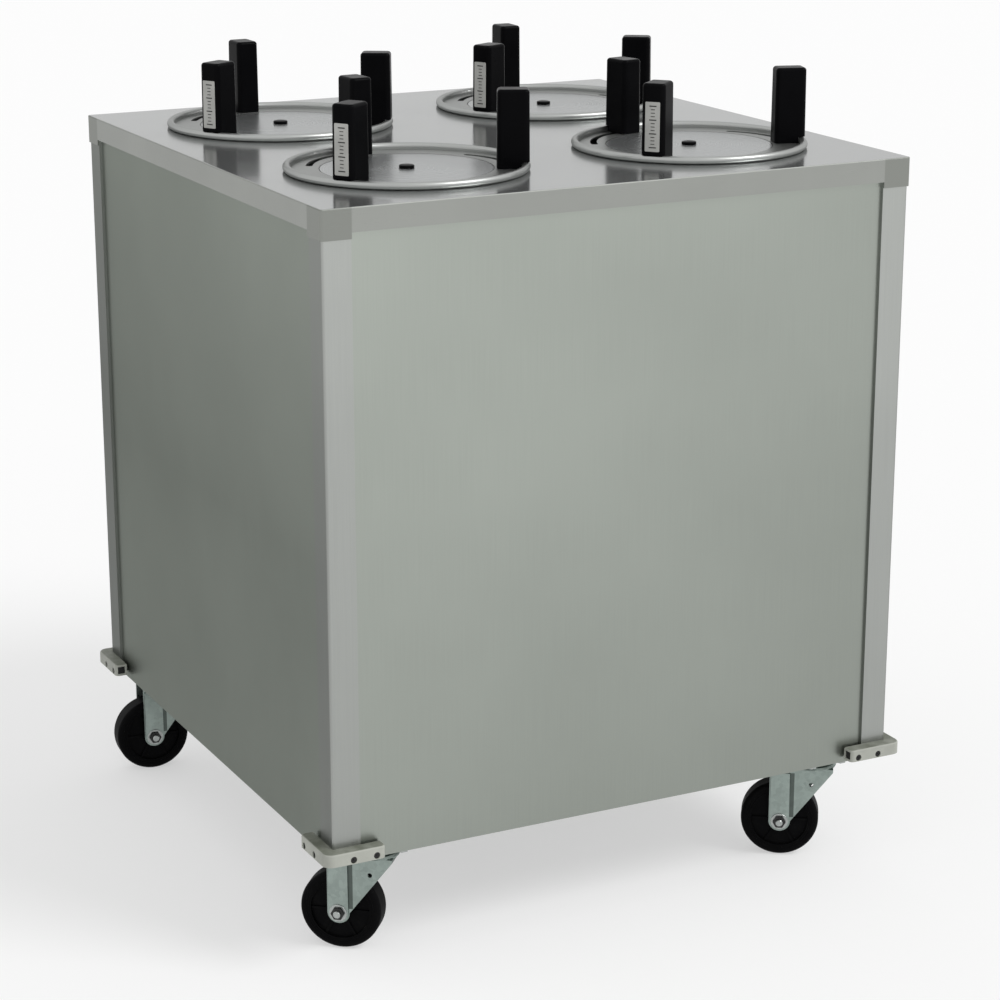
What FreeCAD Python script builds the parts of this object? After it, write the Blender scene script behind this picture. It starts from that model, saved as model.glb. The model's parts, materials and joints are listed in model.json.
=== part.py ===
import FreeCAD
import Part
import Sketcher
import math
import os
from types import SimpleNamespace

# Heated plate dispenser: a stainless cabinet on swivel casters with four sprung plate wells.
# Millimetres. +Z is up, the front faces -Y, the origin is on the floor under the cabinet's middle.

SIZES = [
    ("cabinet_width", 787.4, "top pan from side to side"),
    ("cabinet_depth", 787.4, "top pan from front to back"),
    ("deck_height", 927.1, "floor to the top of the deck"),
    ("deck_sheet", 2.0, "sheet of the top pan"),
    ("deck_corner_radius", 4.0, "upright corners of the top pan"),
    ("deck_edge_radius", 1.5, "bend along the deck's edge"),
    ("skirt_height", 36.0, "turned-down corners of the top pan"),
    ("skirt_step", 7.5, "skirt between the corners, shorter by this"),
    ("deck_hole_radius", 136.0, "holes in the deck for the tubes"),
    ("post_leg", 36.0, "face of a corner post"),
    ("post_sheet", 2.0, "sheet of a corner post"),
    ("post_corner_radius", 3.0, "upright outer corner of a post"),
    ("panel_drop", 2.0, "posts and panels below the base's underside"),
    ("panel_recess", 4.0, "panel face behind the post face"),
    ("panel_sheet", 1.2, "sheet of a panel"),
    ("panel_flange", 14.0, "side flange of a panel, along the post's return"),
    ("base_sheet", 2.5, "floor of the base frame"),
    ("base_flange", 30.0, "turned-up edge of the base frame"),
    ("doubler_width", 72.0, "strip over the caster bolts"),
    ("doubler_sheet", 4.0, "thickness of that strip"),
    ("well_draw", 1.35, "wells drawn in from the middle of each quarter of the deck"),
    ("collar_radius", 148.0, "outside of the collar's bead"),
    ("bead_radius", 4.75, "section of the rolled bead"),
    ("flange_sheet", 2.0, "collar's flat flange"),
    ("flange_opening", 104.9, "hole in the flange, radius"),
    ("tube_radius", 107.0, "inside of a dispenser tube"),
    ("tube_sheet", 1.5, "wall of a dispenser tube"),
    ("tube_length", 750.0, "dispenser tube below the deck"),
    ("tube_slot_width", 20.0, "upright slot for a carrier arm"),
    ("tube_slot_lead", 10.0, "slot above the resting arm"),
    ("spring_ring_radius", 133.0, "ring that the springs hang from"),
    ("spring_ring_drop", 40.0, "that ring below the deck"),
    ("spring_ring_sheet", 3.0, "thickness of that ring"),
    ("spring_circle", 122.0, "springs from the tube's axis"),
    ("spring_radius", 8.0, "outside of a lift spring"),
    ("carrier_radius", 104.0, "plate carrier disc"),
    ("carrier_sheet", 2.5, "disc sheet"),
    ("carrier_rim", 10.0, "turned-down edge of the disc"),
    ("carrier_hole_radius", 8.0, "hole in the middle of the disc"),
    ("carrier_sink", 0.2, "resting disc below the flange face"),
    ("leg_circle", 94.0, "inside of a carrier leg from the axis"),
    ("leg_sheet", 3.0, "thickness of a carrier leg"),
    ("leg_drop", 230.0, "disc top to the carrier arms"),
    ("arm_width", 16.0, "carrier legs and arms"),
    ("arm_sheet", 4.0, "thickness of a carrier arm"),
    ("arm_reach", 131.0, "arm tip from the tube's axis"),
    ("guide_circle", 127.0, "guide studs from the tube's axis"),
    ("guide_length", 39.5, "guide along the radius"),
    ("guide_width", 30.0, "guide across the radius"),
    ("guide_height", 94.0, "guide above the flange"),
    ("guide_taper_angle", 0.3, "draft of a guide in degrees"),
    ("guide_corner_radius", 6.0, "upright corners of a guide"),
    ("guide_crown_radius", 4.0, "top edge of a guide"),
    ("guide_notch_gap", 1.5, "guide's foot inside the bead"),
    ("guide_bead_gap", 0.5, "guide's overhang above the bead"),
    ("stud_radius", 4.0, "guide stud through the flange slot"),
    ("stud_foot_radius", 6.0, "guide stud's foot under the flange"),
    ("stud_foot_height", 2.5, "height of that foot"),
    ("slot_pivot", 20.0, "slot's centre of curvature from the tube's axis"),
    ("slot_sweep_angle", 60.0, "angle that the slot runs through"),
    ("front_left_turn_angle", 4.5, "well turned in its hole, in degrees"),
    ("front_right_turn_angle", 11.5, "well turned in its hole, in degrees"),
    ("rear_left_turn_angle", 0.0, "well turned in its hole, in degrees"),
    ("rear_right_turn_angle", -3.0, "well turned in its hole, in degrees"),
    ("wheel_radius", 50.8, "caster wheel"),
    ("wheel_width", 32.0, "tread of a caster wheel"),
    ("tread_edge_radius", 6.0, "rounded edge of the tread"),
    ("rim_radius", 37.0, "where the tread meets the web"),
    ("web_width", 25.0, "wheel web between rim and hub"),
    ("hub_radius", 14.0, "wheel hub"),
    ("hub_width", 37.8, "wheel hub along the axle"),
    ("axle_radius", 4.9, "axle bolt"),
    ("axle_head_radius", 8.5, "axle bolt head and nut, across corners, radius"),
    ("axle_head_height", 6.0, "axle bolt head and nut"),
    ("caster_trail", 40.0, "axle behind the swivel axis"),
    ("caster_inset_x", 39.5, "swivel axis inside the base's edge, sideways"),
    ("caster_inset_y", 46.5, "swivel axis inside the base's edge, lengthways"),
    ("caster_height", 142.9, "floor to the base's underside"),
    ("front_left_heading_angle", 140.0, "resting trail direction in degrees"),
    ("front_right_heading_angle", 146.0, "resting trail direction in degrees"),
    ("rear_left_heading_angle", 174.0, "resting trail direction in degrees"),
    ("rear_right_heading_angle", 162.0, "resting trail direction in degrees"),
    ("fork_gap", 39.0, "between the fork's legs"),
    ("fork_sheet", 3.0, "fork leg"),
    ("fork_end_radius", 14.0, "rounded lower end of a fork leg"),
    ("fork_back", 28.0, "fork crown past the swivel axis"),
    ("fork_hole_radius", 3.0, "small hole in each fork leg"),
    ("fork_hole_drop", 18.0, "that hole below the crown"),
    ("crown_sheet", 4.0, "top of the fork"),
    ("race_radius", 27.0, "swivel races"),
    ("race_height", 6.0, "race under the caster plate"),
    ("fork_race_height", 8.0, "race on top of the fork"),
    ("race_gap", 0.4, "ball gap between the races"),
    ("kingpin_radius", 6.0, "swivel pin"),
    ("kingpin_head_radius", 10.0, "head under the fork"),
    ("kingpin_head_height", 5.0, "height of that head"),
    ("caster_plate_x", 67.0, "caster plate, sideways"),
    ("caster_plate_y", 86.0, "caster plate, lengthways"),
    ("caster_plate_sheet", 3.2, "caster plate thickness"),
    ("bolt_spacing_x", 45.0, "caster bolts, sideways"),
    ("bolt_spacing_y", 64.0, "caster bolts, lengthways"),
    ("bolt_radius", 4.0, "caster bolt"),
    ("bolt_head_radius", 7.5, "caster bolt head and nut, across corners, radius"),
    ("bolt_head_height", 5.0, "caster bolt head and nut"),
    ("bumper_leg", 62.0, "bumper along each face of the corner"),
    ("bumper_proud", 16.0, "bumper in front of the post face"),
    ("bumper_rise", 6.0, "bumper's foot above the post's foot"),
    ("bumper_height", 16.0, "bumper height"),
    ("bumper_corner_radius", 12.0, "bumper's outer corner"),
    ("bumper_end_radius", 6.0, "ends of the bumper"),
    ("bumper_edge_radius", 2.5, "top edge of the bumper"),
    ("bumper_wall", 3.0, "wall round the hollow ends of a bumper"),
    ("bumper_hollow", 6.0, "depth of those hollows"),
    ("screw_near", 20.0, "first bumper screw from the corner"),
    ("screw_far", 50.0, "second bumper screw from the corner"),
    ("screw_rise", 5.0, "bumper screws above the bumper's foot"),
    ("screw_radius", 2.4, "bumper screw shank"),
    ("screw_head_radius", 3.9, "bumper screw head"),
    ("screw_head_height", 3.0, "height of that head"),
    ("screw_sink", 1.5, "screw head below the bumper's face"),
    ("heater_rise", 45.0, "heater above the base"),
    ("heater_run", 170.0, "straight run of the heater loop"),
    ("heater_bend_radius", 45.0, "bends of the heater loop"),
    ("heater_tube_radius", 5.0, "heater tube"),
    ("heater_bracket_sheet", 3.0, "heater brackets"),
    ("heater_bracket_spread", 110.0, "between the heater brackets"),
    ("heater_bracket_lap", 12.0, "bracket past the heater's sides and above it"),
    ("control_level", 262.0, "middle of the control panel above the floor"),
    ("control_width", 210.0, "control panel plate"),
    ("control_height", 110.0, "control panel plate"),
    ("control_sheet", 1.5, "control panel plate thickness"),
    ("control_lap", 15.0, "plate over the edge of the panel's cut-out"),
    ("control_spread", 50.0, "thermostat and inlet from the plate's middle"),
    ("thermostat_side", 46.0, "thermostat body"),
    ("thermostat_depth", 32.0, "thermostat body behind the plate"),
    ("knob_shaft_radius", 3.0, "knob shaft"),
    ("knob_shaft_reach", 16.0, "knob shaft in the thermostat"),
    ("shaft_hole_gap", 1.0, "plate's hole round the knob shaft"),
    ("shaft_end_gap", 1.0, "bore past the end of the knob shaft"),
    ("knob_radius", 19.0, "thermostat knob"),
    ("knob_draft", 1.5, "knob narrower at its face"),
    ("knob_height", 13.0, "thermostat knob"),
    ("knob_lift", 0.5, "knob off the plate"),
    ("pointer_width", 5.0, "grip bar across the knob"),
    ("pointer_height", 3.0, "grip bar across the knob"),
    ("inlet_flange_width", 68.0, "power inlet's flange"),
    ("inlet_flange_height", 40.0, "power inlet's flange"),
    ("inlet_flange_sheet", 2.5, "power inlet's flange"),
    ("inlet_body_width", 60.0, "power inlet behind the plate"),
    ("inlet_body_height", 32.0, "power inlet behind the plate"),
    ("inlet_body_depth", 25.0, "power inlet behind the plate"),
    ("socket_offset", 13.5, "socket from the inlet's middle"),
    ("socket_width", 26.0, "socket recess"),
    ("socket_height", 19.0, "socket recess"),
    ("socket_depth", 17.0, "socket recess"),
    ("contact_pitch", 7.0, "contact blades in the socket"),
    ("contact_width", 2.0, "contact blade"),
    ("contact_height", 6.0, "contact blade"),
    ("contact_length", 9.0, "contact blade"),
    ("rocker_offset", 18.5, "switch rocker from the inlet's middle"),
    ("rocker_width", 12.4, "switch rocker"),
    ("rocker_half_height", 10.2, "switch rocker"),
    ("rocker_reach", 6.0, "rocker ends in front of its pivot"),
    ("rocker_dip", 1.4, "hollow of the rocker's face"),
    ("rocker_back", 3.0, "rocker behind its pivot"),
    ("rocker_heel", 2.0, "rocker drawn in at its back"),
    ("rocker_tilt_angle", 7.0, "resting tilt in degrees"),
    ("rocker_room", 1.3, "recess above and below the rocker"),
    ("rocker_well", 8.0, "recess behind the pivot"),
    ("rocker_pin_radius", 1.5, "rocker's pivot pin"),
    ("rocker_pin_length", 1.2, "pivot pin past the rocker's side"),
    ("running_gap", 0.05, "radial clearance of a pin or shaft"),
    ("slide_gap", 0.3, "clearance of a sliding piece"),
    ("hole_gap", 0.3, "radial clearance of a bolt or screw"),
]

CORNERS = {
    "front_left": (-1, -1),
    "front_right": (1, -1),
    "rear_left": (-1, 1),
    "rear_right": (1, 1),
}
FOLD = 3
GUIDES = {"back": 90, "left": 210, "right": 330}
ARM_TURN = 150
UP = FreeCAD.Vector(0, 0, 1)
ALONG = {
    "X": FreeCAD.Rotation(FreeCAD.Vector(0, 1, 0), 90),
    "Y": FreeCAD.Rotation(FreeCAD.Vector(1, 0, 0), -90),
    "-Y": FreeCAD.Rotation(FreeCAD.Vector(1, 0, 0), 90),
    "Z": FreeCAD.Rotation(),
}
FACING_REAR = FreeCAD.Rotation(UP, 180)


class Size:
    # A number together with the sheet expression that gives it.

    def __init__(self, text, value):
        self.text = text
        self.value = value

    def __add__(self, other):
        other = as_size(other)
        return Size(f"({self.text} + {other.text})", self.value + other.value)

    def __radd__(self, other):
        return as_size(other) + self

    def __sub__(self, other):
        other = as_size(other)
        return Size(f"({self.text} - {other.text})", self.value - other.value)

    def __rsub__(self, other):
        return as_size(other) - self

    def __mul__(self, other):
        other = as_size(other)
        return Size(f"({self.text} * {other.text})", self.value * other.value)

    def __rmul__(self, other):
        return as_size(other) * self

    def __truediv__(self, other):
        other = as_size(other)
        return Size(f"({self.text} / {other.text})", self.value / other.value)

    def __neg__(self):
        return as_size(0) - self


def as_size(value):
    if isinstance(value, Size):
        return value
    return Size(f"({float(value)!r})", float(value))


def cosine(angle):
    angle = as_size(angle)
    return Size(f"cos({angle.text})", math.cos(math.radians(angle.value)))


def sine(angle):
    angle = as_size(angle)
    return Size(f"sin({angle.text})", math.sin(math.radians(angle.value)))


doc = FreeCAD.newDocument("plate_dispenser")
sheet = doc.addObject("Spreadsheet::Sheet", "Sizes")
for row, (alias, number, note) in enumerate(SIZES, start=1):
    sheet.set(f"A{row}", note)
    sheet.set(f"B{row}", str(number))
    sheet.setAlias(f"B{row}", alias)
doc.recompute()
size = SimpleNamespace(**{alias: Size(f"Sizes.{alias}", number) for alias, number, note in SIZES})
nodes = []


def bind(thing, prop, value):
    thing.setExpression(prop, as_size(value).text)


def place(thing, x, y, z, rotation=ALONG["Z"]):
    spot = [as_size(x), as_size(y), as_size(z)]
    thing.Placement = FreeCAD.Placement(FreeCAD.Vector(*[part.value for part in spot]), rotation)
    for axis, part in zip("xyz", spot):
        bind(thing, f"Placement.Base.{axis}", part)
    return thing


def place_turned(thing, x, y, z, turn):
    place(thing, x, y, z, FreeCAD.Rotation(UP, turn.value))
    bind(thing, "Placement.Rotation.Angle", turn)
    return thing


def node(thing, label):
    thing.Label = label
    nodes.append(thing)
    return thing


# Solids from primitives


def box(name, corner, extent):
    solid = doc.addObject("Part::Box", name)
    for prop, length in zip(("Length", "Width", "Height"), extent):
        bind(solid, prop, length)
    return place(solid, *corner)


def rod(name, foot, radius, length, axis="Z"):
    solid = doc.addObject("Part::Cylinder", name)
    bind(solid, "Radius", radius)
    bind(solid, "Height", length)
    return place(solid, *foot, ALONG[axis])


def hexagon(name, foot, radius, length):
    solid = doc.addObject("Part::Prism", name)
    solid.Polygon = 6
    bind(solid, "Circumradius", radius)
    bind(solid, "Height", length)
    return place(solid, *foot)


def fuse(name, pieces):
    solid = doc.addObject("Part::MultiFuse", name)
    solid.Shapes = pieces
    solid.Refine = True
    return solid


def group(name, pieces):
    bunch = doc.addObject("Part::Compound", name)
    bunch.Links = pieces
    return bunch


def cut(name, base, tools):
    solid = doc.addObject("Part::Cut", name)
    solid.Base = base
    solid.Tool = group(f"{name}_tools", tools)
    return solid


# Sketched bodies


def new_body(name):
    return doc.addObject("PartDesign::Body", name)


def origin_feature(body, role):
    return [feature for feature in body.Origin.OriginFeatures if feature.Role == role][0]


def new_sketch(body, plane, lift):
    sketch = body.newObject("Sketcher::SketchObject", "outline")
    sketch.AttachmentSupport = [(origin_feature(body, plane), "")]
    sketch.MapMode = "FlatFace"
    bind(sketch, "AttachmentOffset.Base.z", lift)
    return sketch


def hold(sketch, rules):
    constraints = [Sketcher.Constraint(kind, *where, value.value) for kind, where, value in rules]
    for index, (kind, where, value) in zip(sketch.addConstraint(constraints), rules):
        sketch.setExpression(f"Constraints[{index}]", value.text)


def arc_between(start, stop, radius, turn):
    # Minor arc; turn is 1 to the left of the way from start to stop, -1 to the right.
    chord = stop - start
    height = math.sqrt(max(radius ** 2 - (chord.Length / 2) ** 2, 0))
    side = FreeCAD.Vector(-chord.y, chord.x, 0).normalize()
    centre = start + chord * 0.5 + side * (height * turn)
    first, last = (start, stop) if turn > 0 else (stop, start)
    begin = math.atan2(first.y - centre.y, first.x - centre.x)
    end = math.atan2(last.y - centre.y, last.x - centre.x)
    return Part.ArcOfCircle(Part.Circle(centre, UP, radius), begin, end)


def outline(body, plane, corners, lift=0):
    # Closed outline. A corner is (x, y), or (x, y, radius, turn) where an arc leaves it.
    sketch = new_sketch(body, plane, lift)
    corners = [tuple(as_size(part) for part in corner[:3]) + tuple(corner[3:]) for corner in corners]
    points = [FreeCAD.Vector(corner[0].value, corner[1].value, 0) for corner in corners]
    count = len(corners)
    ends = []
    rules = []
    for index, corner in enumerate(corners):
        start, stop = points[index], points[(index + 1) % count]
        if len(corner) == 2:
            sketch.addGeometry(Part.LineSegment(start, stop), False)
            ends.append((1, 2))
        else:
            sketch.addGeometry(arc_between(start, stop, corner[2].value, corner[3]), False)
            ends.append((1, 2) if corner[3] > 0 else (2, 1))
            rules.append(("Radius", (index,), corner[2]))
        rules.append(("DistanceX", (-1, 1, index, ends[index][0]), corner[0]))
        rules.append(("DistanceY", (-1, 1, index, ends[index][0]), corner[1]))
    for index in range(count):
        after = (index + 1) % count
        sketch.addConstraint(Sketcher.Constraint("Coincident", index, ends[index][1], after, ends[after][0]))
    hold(sketch, rules)
    return sketch


def circles(body, plane, rounds, lift=0):
    sketch = new_sketch(body, plane, lift)
    rules = []
    for index, (x, y, radius) in enumerate(rounds):
        x, y, radius = as_size(x), as_size(y), as_size(radius)
        sketch.addGeometry(Part.Circle(FreeCAD.Vector(x.value, y.value, 0), UP, radius.value), False)
        rules.append(("DistanceX", (-1, 1, index, 3), x))
        rules.append(("DistanceY", (-1, 1, index, 3), y))
        rules.append(("Radius", (index,), radius))
    hold(sketch, rules)
    return sketch


def extrude(body, kind, sketch, length, side, flip):
    feature = body.newObject(kind, "feature")
    feature.Profile = sketch
    feature.SideType = side
    feature.Reversed = flip
    bind(feature, "Length", length)
    return feature


def pad(body, sketch, length, flip=False):
    return extrude(body, "PartDesign::Pad", sketch, length, "One side", flip)


def pad_both_ways(body, sketch, length):
    return extrude(body, "PartDesign::Pad", sketch, length, "Symmetric", False)


def pocket_forward(body, sketch, length):
    # Cuts along the sketch's normal.
    return extrude(body, "PartDesign::Pocket", sketch, length, "One side", True)


def pocket_both_ways(body, sketch, length):
    return extrude(body, "PartDesign::Pocket", sketch, length, "Symmetric", False)


def revolve(body, sketch):
    feature = body.newObject("PartDesign::Revolution", "revolution")
    feature.Profile = sketch
    feature.ReferenceAxis = (sketch, ["V_Axis"])
    feature.Angle = 360
    return feature


def around(body, feature):
    pattern = body.newObject("PartDesign::PolarPattern", "pattern")
    pattern.Originals = [feature]
    pattern.Axis = (origin_feature(body, "Z_Axis"), [""])
    pattern.Angle = 360
    pattern.Occurrences = FOLD
    body.Tip = pattern
    return pattern


def round_edges(body, feature, radius, chosen):
    doc.recompute()
    names = [f"Edge{place}" for place, edge in enumerate(feature.Shape.Edges, start=1) if chosen(edge)]
    fillet = body.newObject("PartDesign::Fillet", "fillet")
    fillet.Base = (feature, names)
    bind(fillet, "Radius", radius)
    return fillet


def upright(edge):
    return edge.BoundBox.ZLength > max(edge.BoundBox.XLength, edge.BoundBox.YLength)


def at_level(level):
    return lambda edge: min(abs(edge.BoundBox.ZMin - level), abs(edge.BoundBox.ZMax - level)) < 1e-4 \
        and edge.BoundBox.ZLength < 1e-4


def rectangle(width, depth, x=0, y=0):
    half_x, half_y = width / 2, depth / 2
    return [(x - half_x, y - half_y), (x + half_x, y - half_y),
            (x + half_x, y + half_y), (x - half_x, y + half_y)]


# Shared places

half_width = size.cabinet_width / 2 - size.deck_sheet
half_depth = size.cabinet_depth / 2 - size.deck_sheet
wall_foot = size.caster_height - size.panel_drop
deck_under = size.deck_height - size.deck_sheet
wall_height = deck_under - wall_foot
post_return = size.panel_recess + size.panel_flange
skirt_corner = size.post_leg + size.deck_sheet
front_panel_width = 2 * (half_width - size.post_leg)
side_panel_width = 2 * (half_depth - size.post_leg)
panel_inset = size.panel_recess + size.panel_sheet
base_top = size.caster_height + size.base_sheet
carrier_level = size.deck_height + size.flange_sheet - size.carrier_sink
guide_level = size.deck_height + size.flange_sheet + size.slide_gap
arm_level = carrier_level - size.leg_drop
spring_top = size.deck_height - size.spring_ring_drop - size.spring_ring_sheet
bumper_foot = wall_foot + size.bumper_rise
screw_level = bumper_foot + size.screw_rise
screw_length = size.bumper_proud + size.panel_recess + size.panel_sheet
screw_hole = size.screw_radius + size.hole_gap
bolt_hole = size.bolt_radius + size.hole_gap

base_reach_x = half_width - panel_inset
base_reach_y = half_depth - panel_inset
base_straight_x = front_panel_width / 2 - size.panel_sheet
base_straight_y = side_panel_width / 2 - size.panel_sheet
swivel_x = base_straight_x - size.caster_inset_x
swivel_y = base_reach_y - size.caster_inset_y

plate_under = size.caster_height - size.caster_plate_sheet
race_under = plate_under - size.race_height
fork_top = race_under - size.race_gap
crown_top = fork_top - size.fork_race_height
crown_under = crown_top - size.crown_sheet
fork_width = size.fork_gap + 2 * size.fork_sheet

control_back = half_depth - size.panel_recess
cutout_width = size.control_width - 2 * size.control_lap
cutout_height = size.control_height - 2 * size.control_lap


def tube_place(corner):
    sign_x, sign_y = CORNERS[corner]
    return (sign_x * (size.cabinet_width / 4 - size.well_draw),
            sign_y * (size.cabinet_depth / 4 - size.well_draw))


def swivel_place(corner):
    sign_x, sign_y = CORNERS[corner]
    return sign_x * swivel_x, sign_y * swivel_y


def heading(corner):
    return getattr(size, f"{corner}_heading_angle")


def well_turn(corner, angle):
    return getattr(size, f"{corner}_turn_angle") + angle


# Cabinet


def make_top_pan():
    body = new_body("top_pan")
    outside = rectangle(size.cabinet_width, size.cabinet_depth)
    block = pad(body, outline(body, "XY_Plane", outside), size.skirt_height)
    block = round_edges(body, block, size.deck_corner_radius, upright)
    round_edges(body, block, size.deck_edge_radius, at_level(size.skirt_height.value))
    inside = rectangle(2 * half_width, 2 * half_depth)
    pocket_forward(body, outline(body, "XY_Plane", inside), size.skirt_height - size.deck_sheet)
    for plane, across, along in (("XZ_Plane", size.cabinet_width, size.cabinet_depth),
                                 ("YZ_Plane", size.cabinet_depth, size.cabinet_width)):
        step = rectangle(across - 2 * skirt_corner, size.skirt_step, 0, size.skirt_step / 2)
        pocket_both_ways(body, outline(body, plane, step), 2 * along)
    holes = [(*tube_place(corner), size.deck_hole_radius) for corner in CORNERS]
    pocket_forward(body, circles(body, "XY_Plane", holes), 2 * size.skirt_height)
    place(body, 0, 0, size.deck_height - size.skirt_height)
    node(body, "top_pan")


def make_corner_post(corner):
    # Rolled angle with its free edges turned in beside the panels.
    sign_x, sign_y = CORNERS[corner]
    body = new_body(f"post_{corner}")
    leg, thick, turn = size.post_leg, size.post_sheet, post_return
    section = [(0, 0), (leg, 0), (leg, turn), (leg - thick, turn), (leg - thick, thick), (thick, thick),
               (thick, leg - thick), (turn, leg - thick), (turn, leg), (0, leg)]
    corners = [(-sign_x * u, -sign_y * v) for u, v in section]
    strip = pad(body, outline(body, "XY_Plane", corners), wall_height)
    round_edges(body, strip, size.post_corner_radius, lambda edge: upright(edge) and near_axis(edge))
    place(body, sign_x * half_width, sign_y * half_depth, wall_foot)
    holes = [screw_rod("hole", corner, way, size.screw_near, screw_hole) for way in "XY"]
    node(cut("drilled_post", body, holes), f"corner_post_{corner}")


def near_axis(edge):
    return max(abs(edge.BoundBox.XMin), abs(edge.BoundBox.YMin)) < 1e-4


def screw_rod(name, corner, way, along, radius, start=0, length=screw_length):
    # Rod at a bumper screw's place: way is the axis it is driven along, start its depth under the face.
    sign_x, sign_y = CORNERS[corner]
    face = size.bumper_proud - start
    if way == "Y":
        foot = [sign_x * (half_width - along), sign_y * (half_depth + face), screw_level]
        if sign_y > 0:
            foot[1] = foot[1] - length
    else:
        foot = [sign_x * (half_width + face), sign_y * (half_depth - along), screw_level]
        if sign_x > 0:
            foot[0] = foot[0] - length
    return rod(name, foot, radius, length, way)


PANELS = {
    "front_panel": (0, front_panel_width, 0, -1, "Y", ("front_left", "front_right")),
    "right_panel": (90, side_panel_width, 1, 0, "X", ("front_right", "rear_right")),
    "rear_panel": (180, front_panel_width, 0, 1, "Y", ("rear_left", "rear_right")),
    "left_panel": (270, side_panel_width, -1, 0, "X", ("front_left", "rear_left")),
}


def make_panel(label):
    # Flat sheet with both side edges turned in; the control panel's cut-out is in the rear one.
    turn, width, out_x, out_y, way, corners = PANELS[label]
    body = new_body(f"{label}_sheet")
    edge, thick, deep = width / 2, size.panel_sheet, size.panel_flange
    section = [(-edge, 0), (edge, 0), (edge, deep), (edge - thick, deep), (edge - thick, thick),
               (thick - edge, thick), (thick - edge, deep), (-edge, deep)]
    pad(body, outline(body, "XY_Plane", section), wall_height)
    place(body, out_x * (half_width - size.panel_recess), out_y * (half_depth - size.panel_recess), wall_foot,
          FreeCAD.Rotation(UP, turn))
    tools = [screw_rod("hole", corner, way, size.screw_far, screw_hole) for corner in corners]
    if label == "rear_panel":
        tools.append(box("cut_out", (-cutout_width / 2, control_back - 2 * size.panel_sheet,
                                     size.control_level - cutout_height / 2),
                         (cutout_width, 4 * size.panel_sheet, cutout_height)))
    node(cut(f"{label}_cut", body, tools), label)


def bolt_places(corner):
    x, y = swivel_place(corner)
    for side_x in (-1, 1):
        for side_y in (-1, 1):
            yield x + side_x * size.bolt_spacing_x / 2, y + side_y * size.bolt_spacing_y / 2


def make_base_frame():
    # Welded tray that reaches the panels, notched at the posts, with a strip over each pair of casters.
    floor = size.caster_height
    thick, rise = size.base_sheet, size.base_flange
    pieces = [
        box("floor_lengthways", (-base_straight_x, -base_reach_y, floor),
            (2 * base_straight_x, 2 * base_reach_y, thick)),
        box("floor_sideways", (-base_reach_x, -base_straight_y, floor),
            (2 * base_reach_x, 2 * base_straight_y, thick)),
    ]
    for start in (-base_reach_y, base_reach_y - thick):
        pieces.append(box("flange", (-base_straight_x, start, floor), (2 * base_straight_x, thick, rise)))
    for start in (-base_reach_x, base_reach_x - thick):
        pieces.append(box("flange", (start, -base_straight_y, floor), (thick, 2 * base_straight_y, rise)))
    for side in (-1, 1):
        start = side * swivel_x - size.doubler_width / 2
        pieces.append(box("doubler", (start, thick - base_reach_y, base_top),
                          (size.doubler_width, 2 * (base_reach_y - thick), size.doubler_sheet)))
    depth = 2 * (thick + size.doubler_sheet)
    spots = [spot for corner in CORNERS for spot in bolt_places(corner)]
    holes = [rod("hole", (*spot, floor), bolt_hole, depth) for spot in spots]
    node(cut("drilled_base", fuse("base_sheets", pieces), holes), "base_frame")


def make_bumpers():
    bumpers = []
    screws = []
    for corner, (sign_x, sign_y) in CORNERS.items():
        bumpers.append(make_bumper(corner, sign_x, sign_y))
        for way in "XY":
            for along in (size.screw_near, size.screw_far):
                head = screw_rod("head", corner, way, along, size.screw_head_radius, size.screw_sink,
                                 size.screw_head_height)
                shank = screw_rod("shank", corner, way, along, size.screw_radius, size.screw_sink,
                                  screw_length - size.screw_sink)
                screws.append(fuse("screw", [head, shank]))
    node(group("bumpers", bumpers), "corner_bumpers")
    node(group("screws", screws), "bumper_screws")


def make_bumper(corner, sign_x, sign_y):
    proud, leg = size.bumper_proud, size.bumper_leg
    nose, end = size.bumper_corner_radius, size.bumper_end_radius
    turn = sign_x * sign_y
    path = [(nose - proud, -proud), (leg - end, -proud, end, turn), (leg, end - proud), (leg, 0), (0, 0),
            (0, leg), (end - proud, leg, end, turn), (-proud, leg - end), (-proud, nose - proud, nose, turn)]
    body = new_body(f"bumper_{corner}")
    block = pad(body, outline(body, "XY_Plane", [(-sign_x * as_size(u), -sign_y * as_size(v), *arc)
                                                 for u, v, *arc in path]), size.bumper_height)
    top = at_level(size.bumper_height.value)
    round_edges(body, block, size.bumper_edge_radius,
                lambda edge: top(edge) and outer_edge(edge, sign_x, sign_y))
    place(body, sign_x * half_width, sign_y * half_depth, bumper_foot)
    tools = []
    head_hole = size.screw_head_radius + size.hole_gap
    head_depth = size.screw_sink + size.screw_head_height
    for way in "XY":
        for along in (size.screw_near, size.screw_far):
            tools.append(screw_rod("hole", corner, way, along, screw_hole))
            tools.append(screw_rod("counterbore", corner, way, along, head_hole, 0, head_depth))
        tools.append(bumper_hollow(corner, way))
    return cut("drilled_bumper", body, tools)


def bumper_hollow(corner, way):
    # Open end of the bumper's leg that runs along the given axis.
    wall, across = size.bumper_wall, size.bumper_proud - 2 * size.bumper_wall
    start, span = [], []
    for axis, sign, half in zip("XY", CORNERS[corner], (half_width, half_depth)):
        near = half - size.bumper_leg if axis == way else half + wall
        span.append(size.bumper_hollow if axis == way else across)
        start.append(near if sign > 0 else -near - span[-1])
    return box("hollow", (*start, bumper_foot + wall), (*span, size.bumper_height - 2 * wall))


def outer_edge(edge, sign_x, sign_y):
    middle = edge.BoundBox.Center
    return max(sign_x * middle.x, sign_y * middle.y) > 1e-4


# Plate wells


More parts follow.
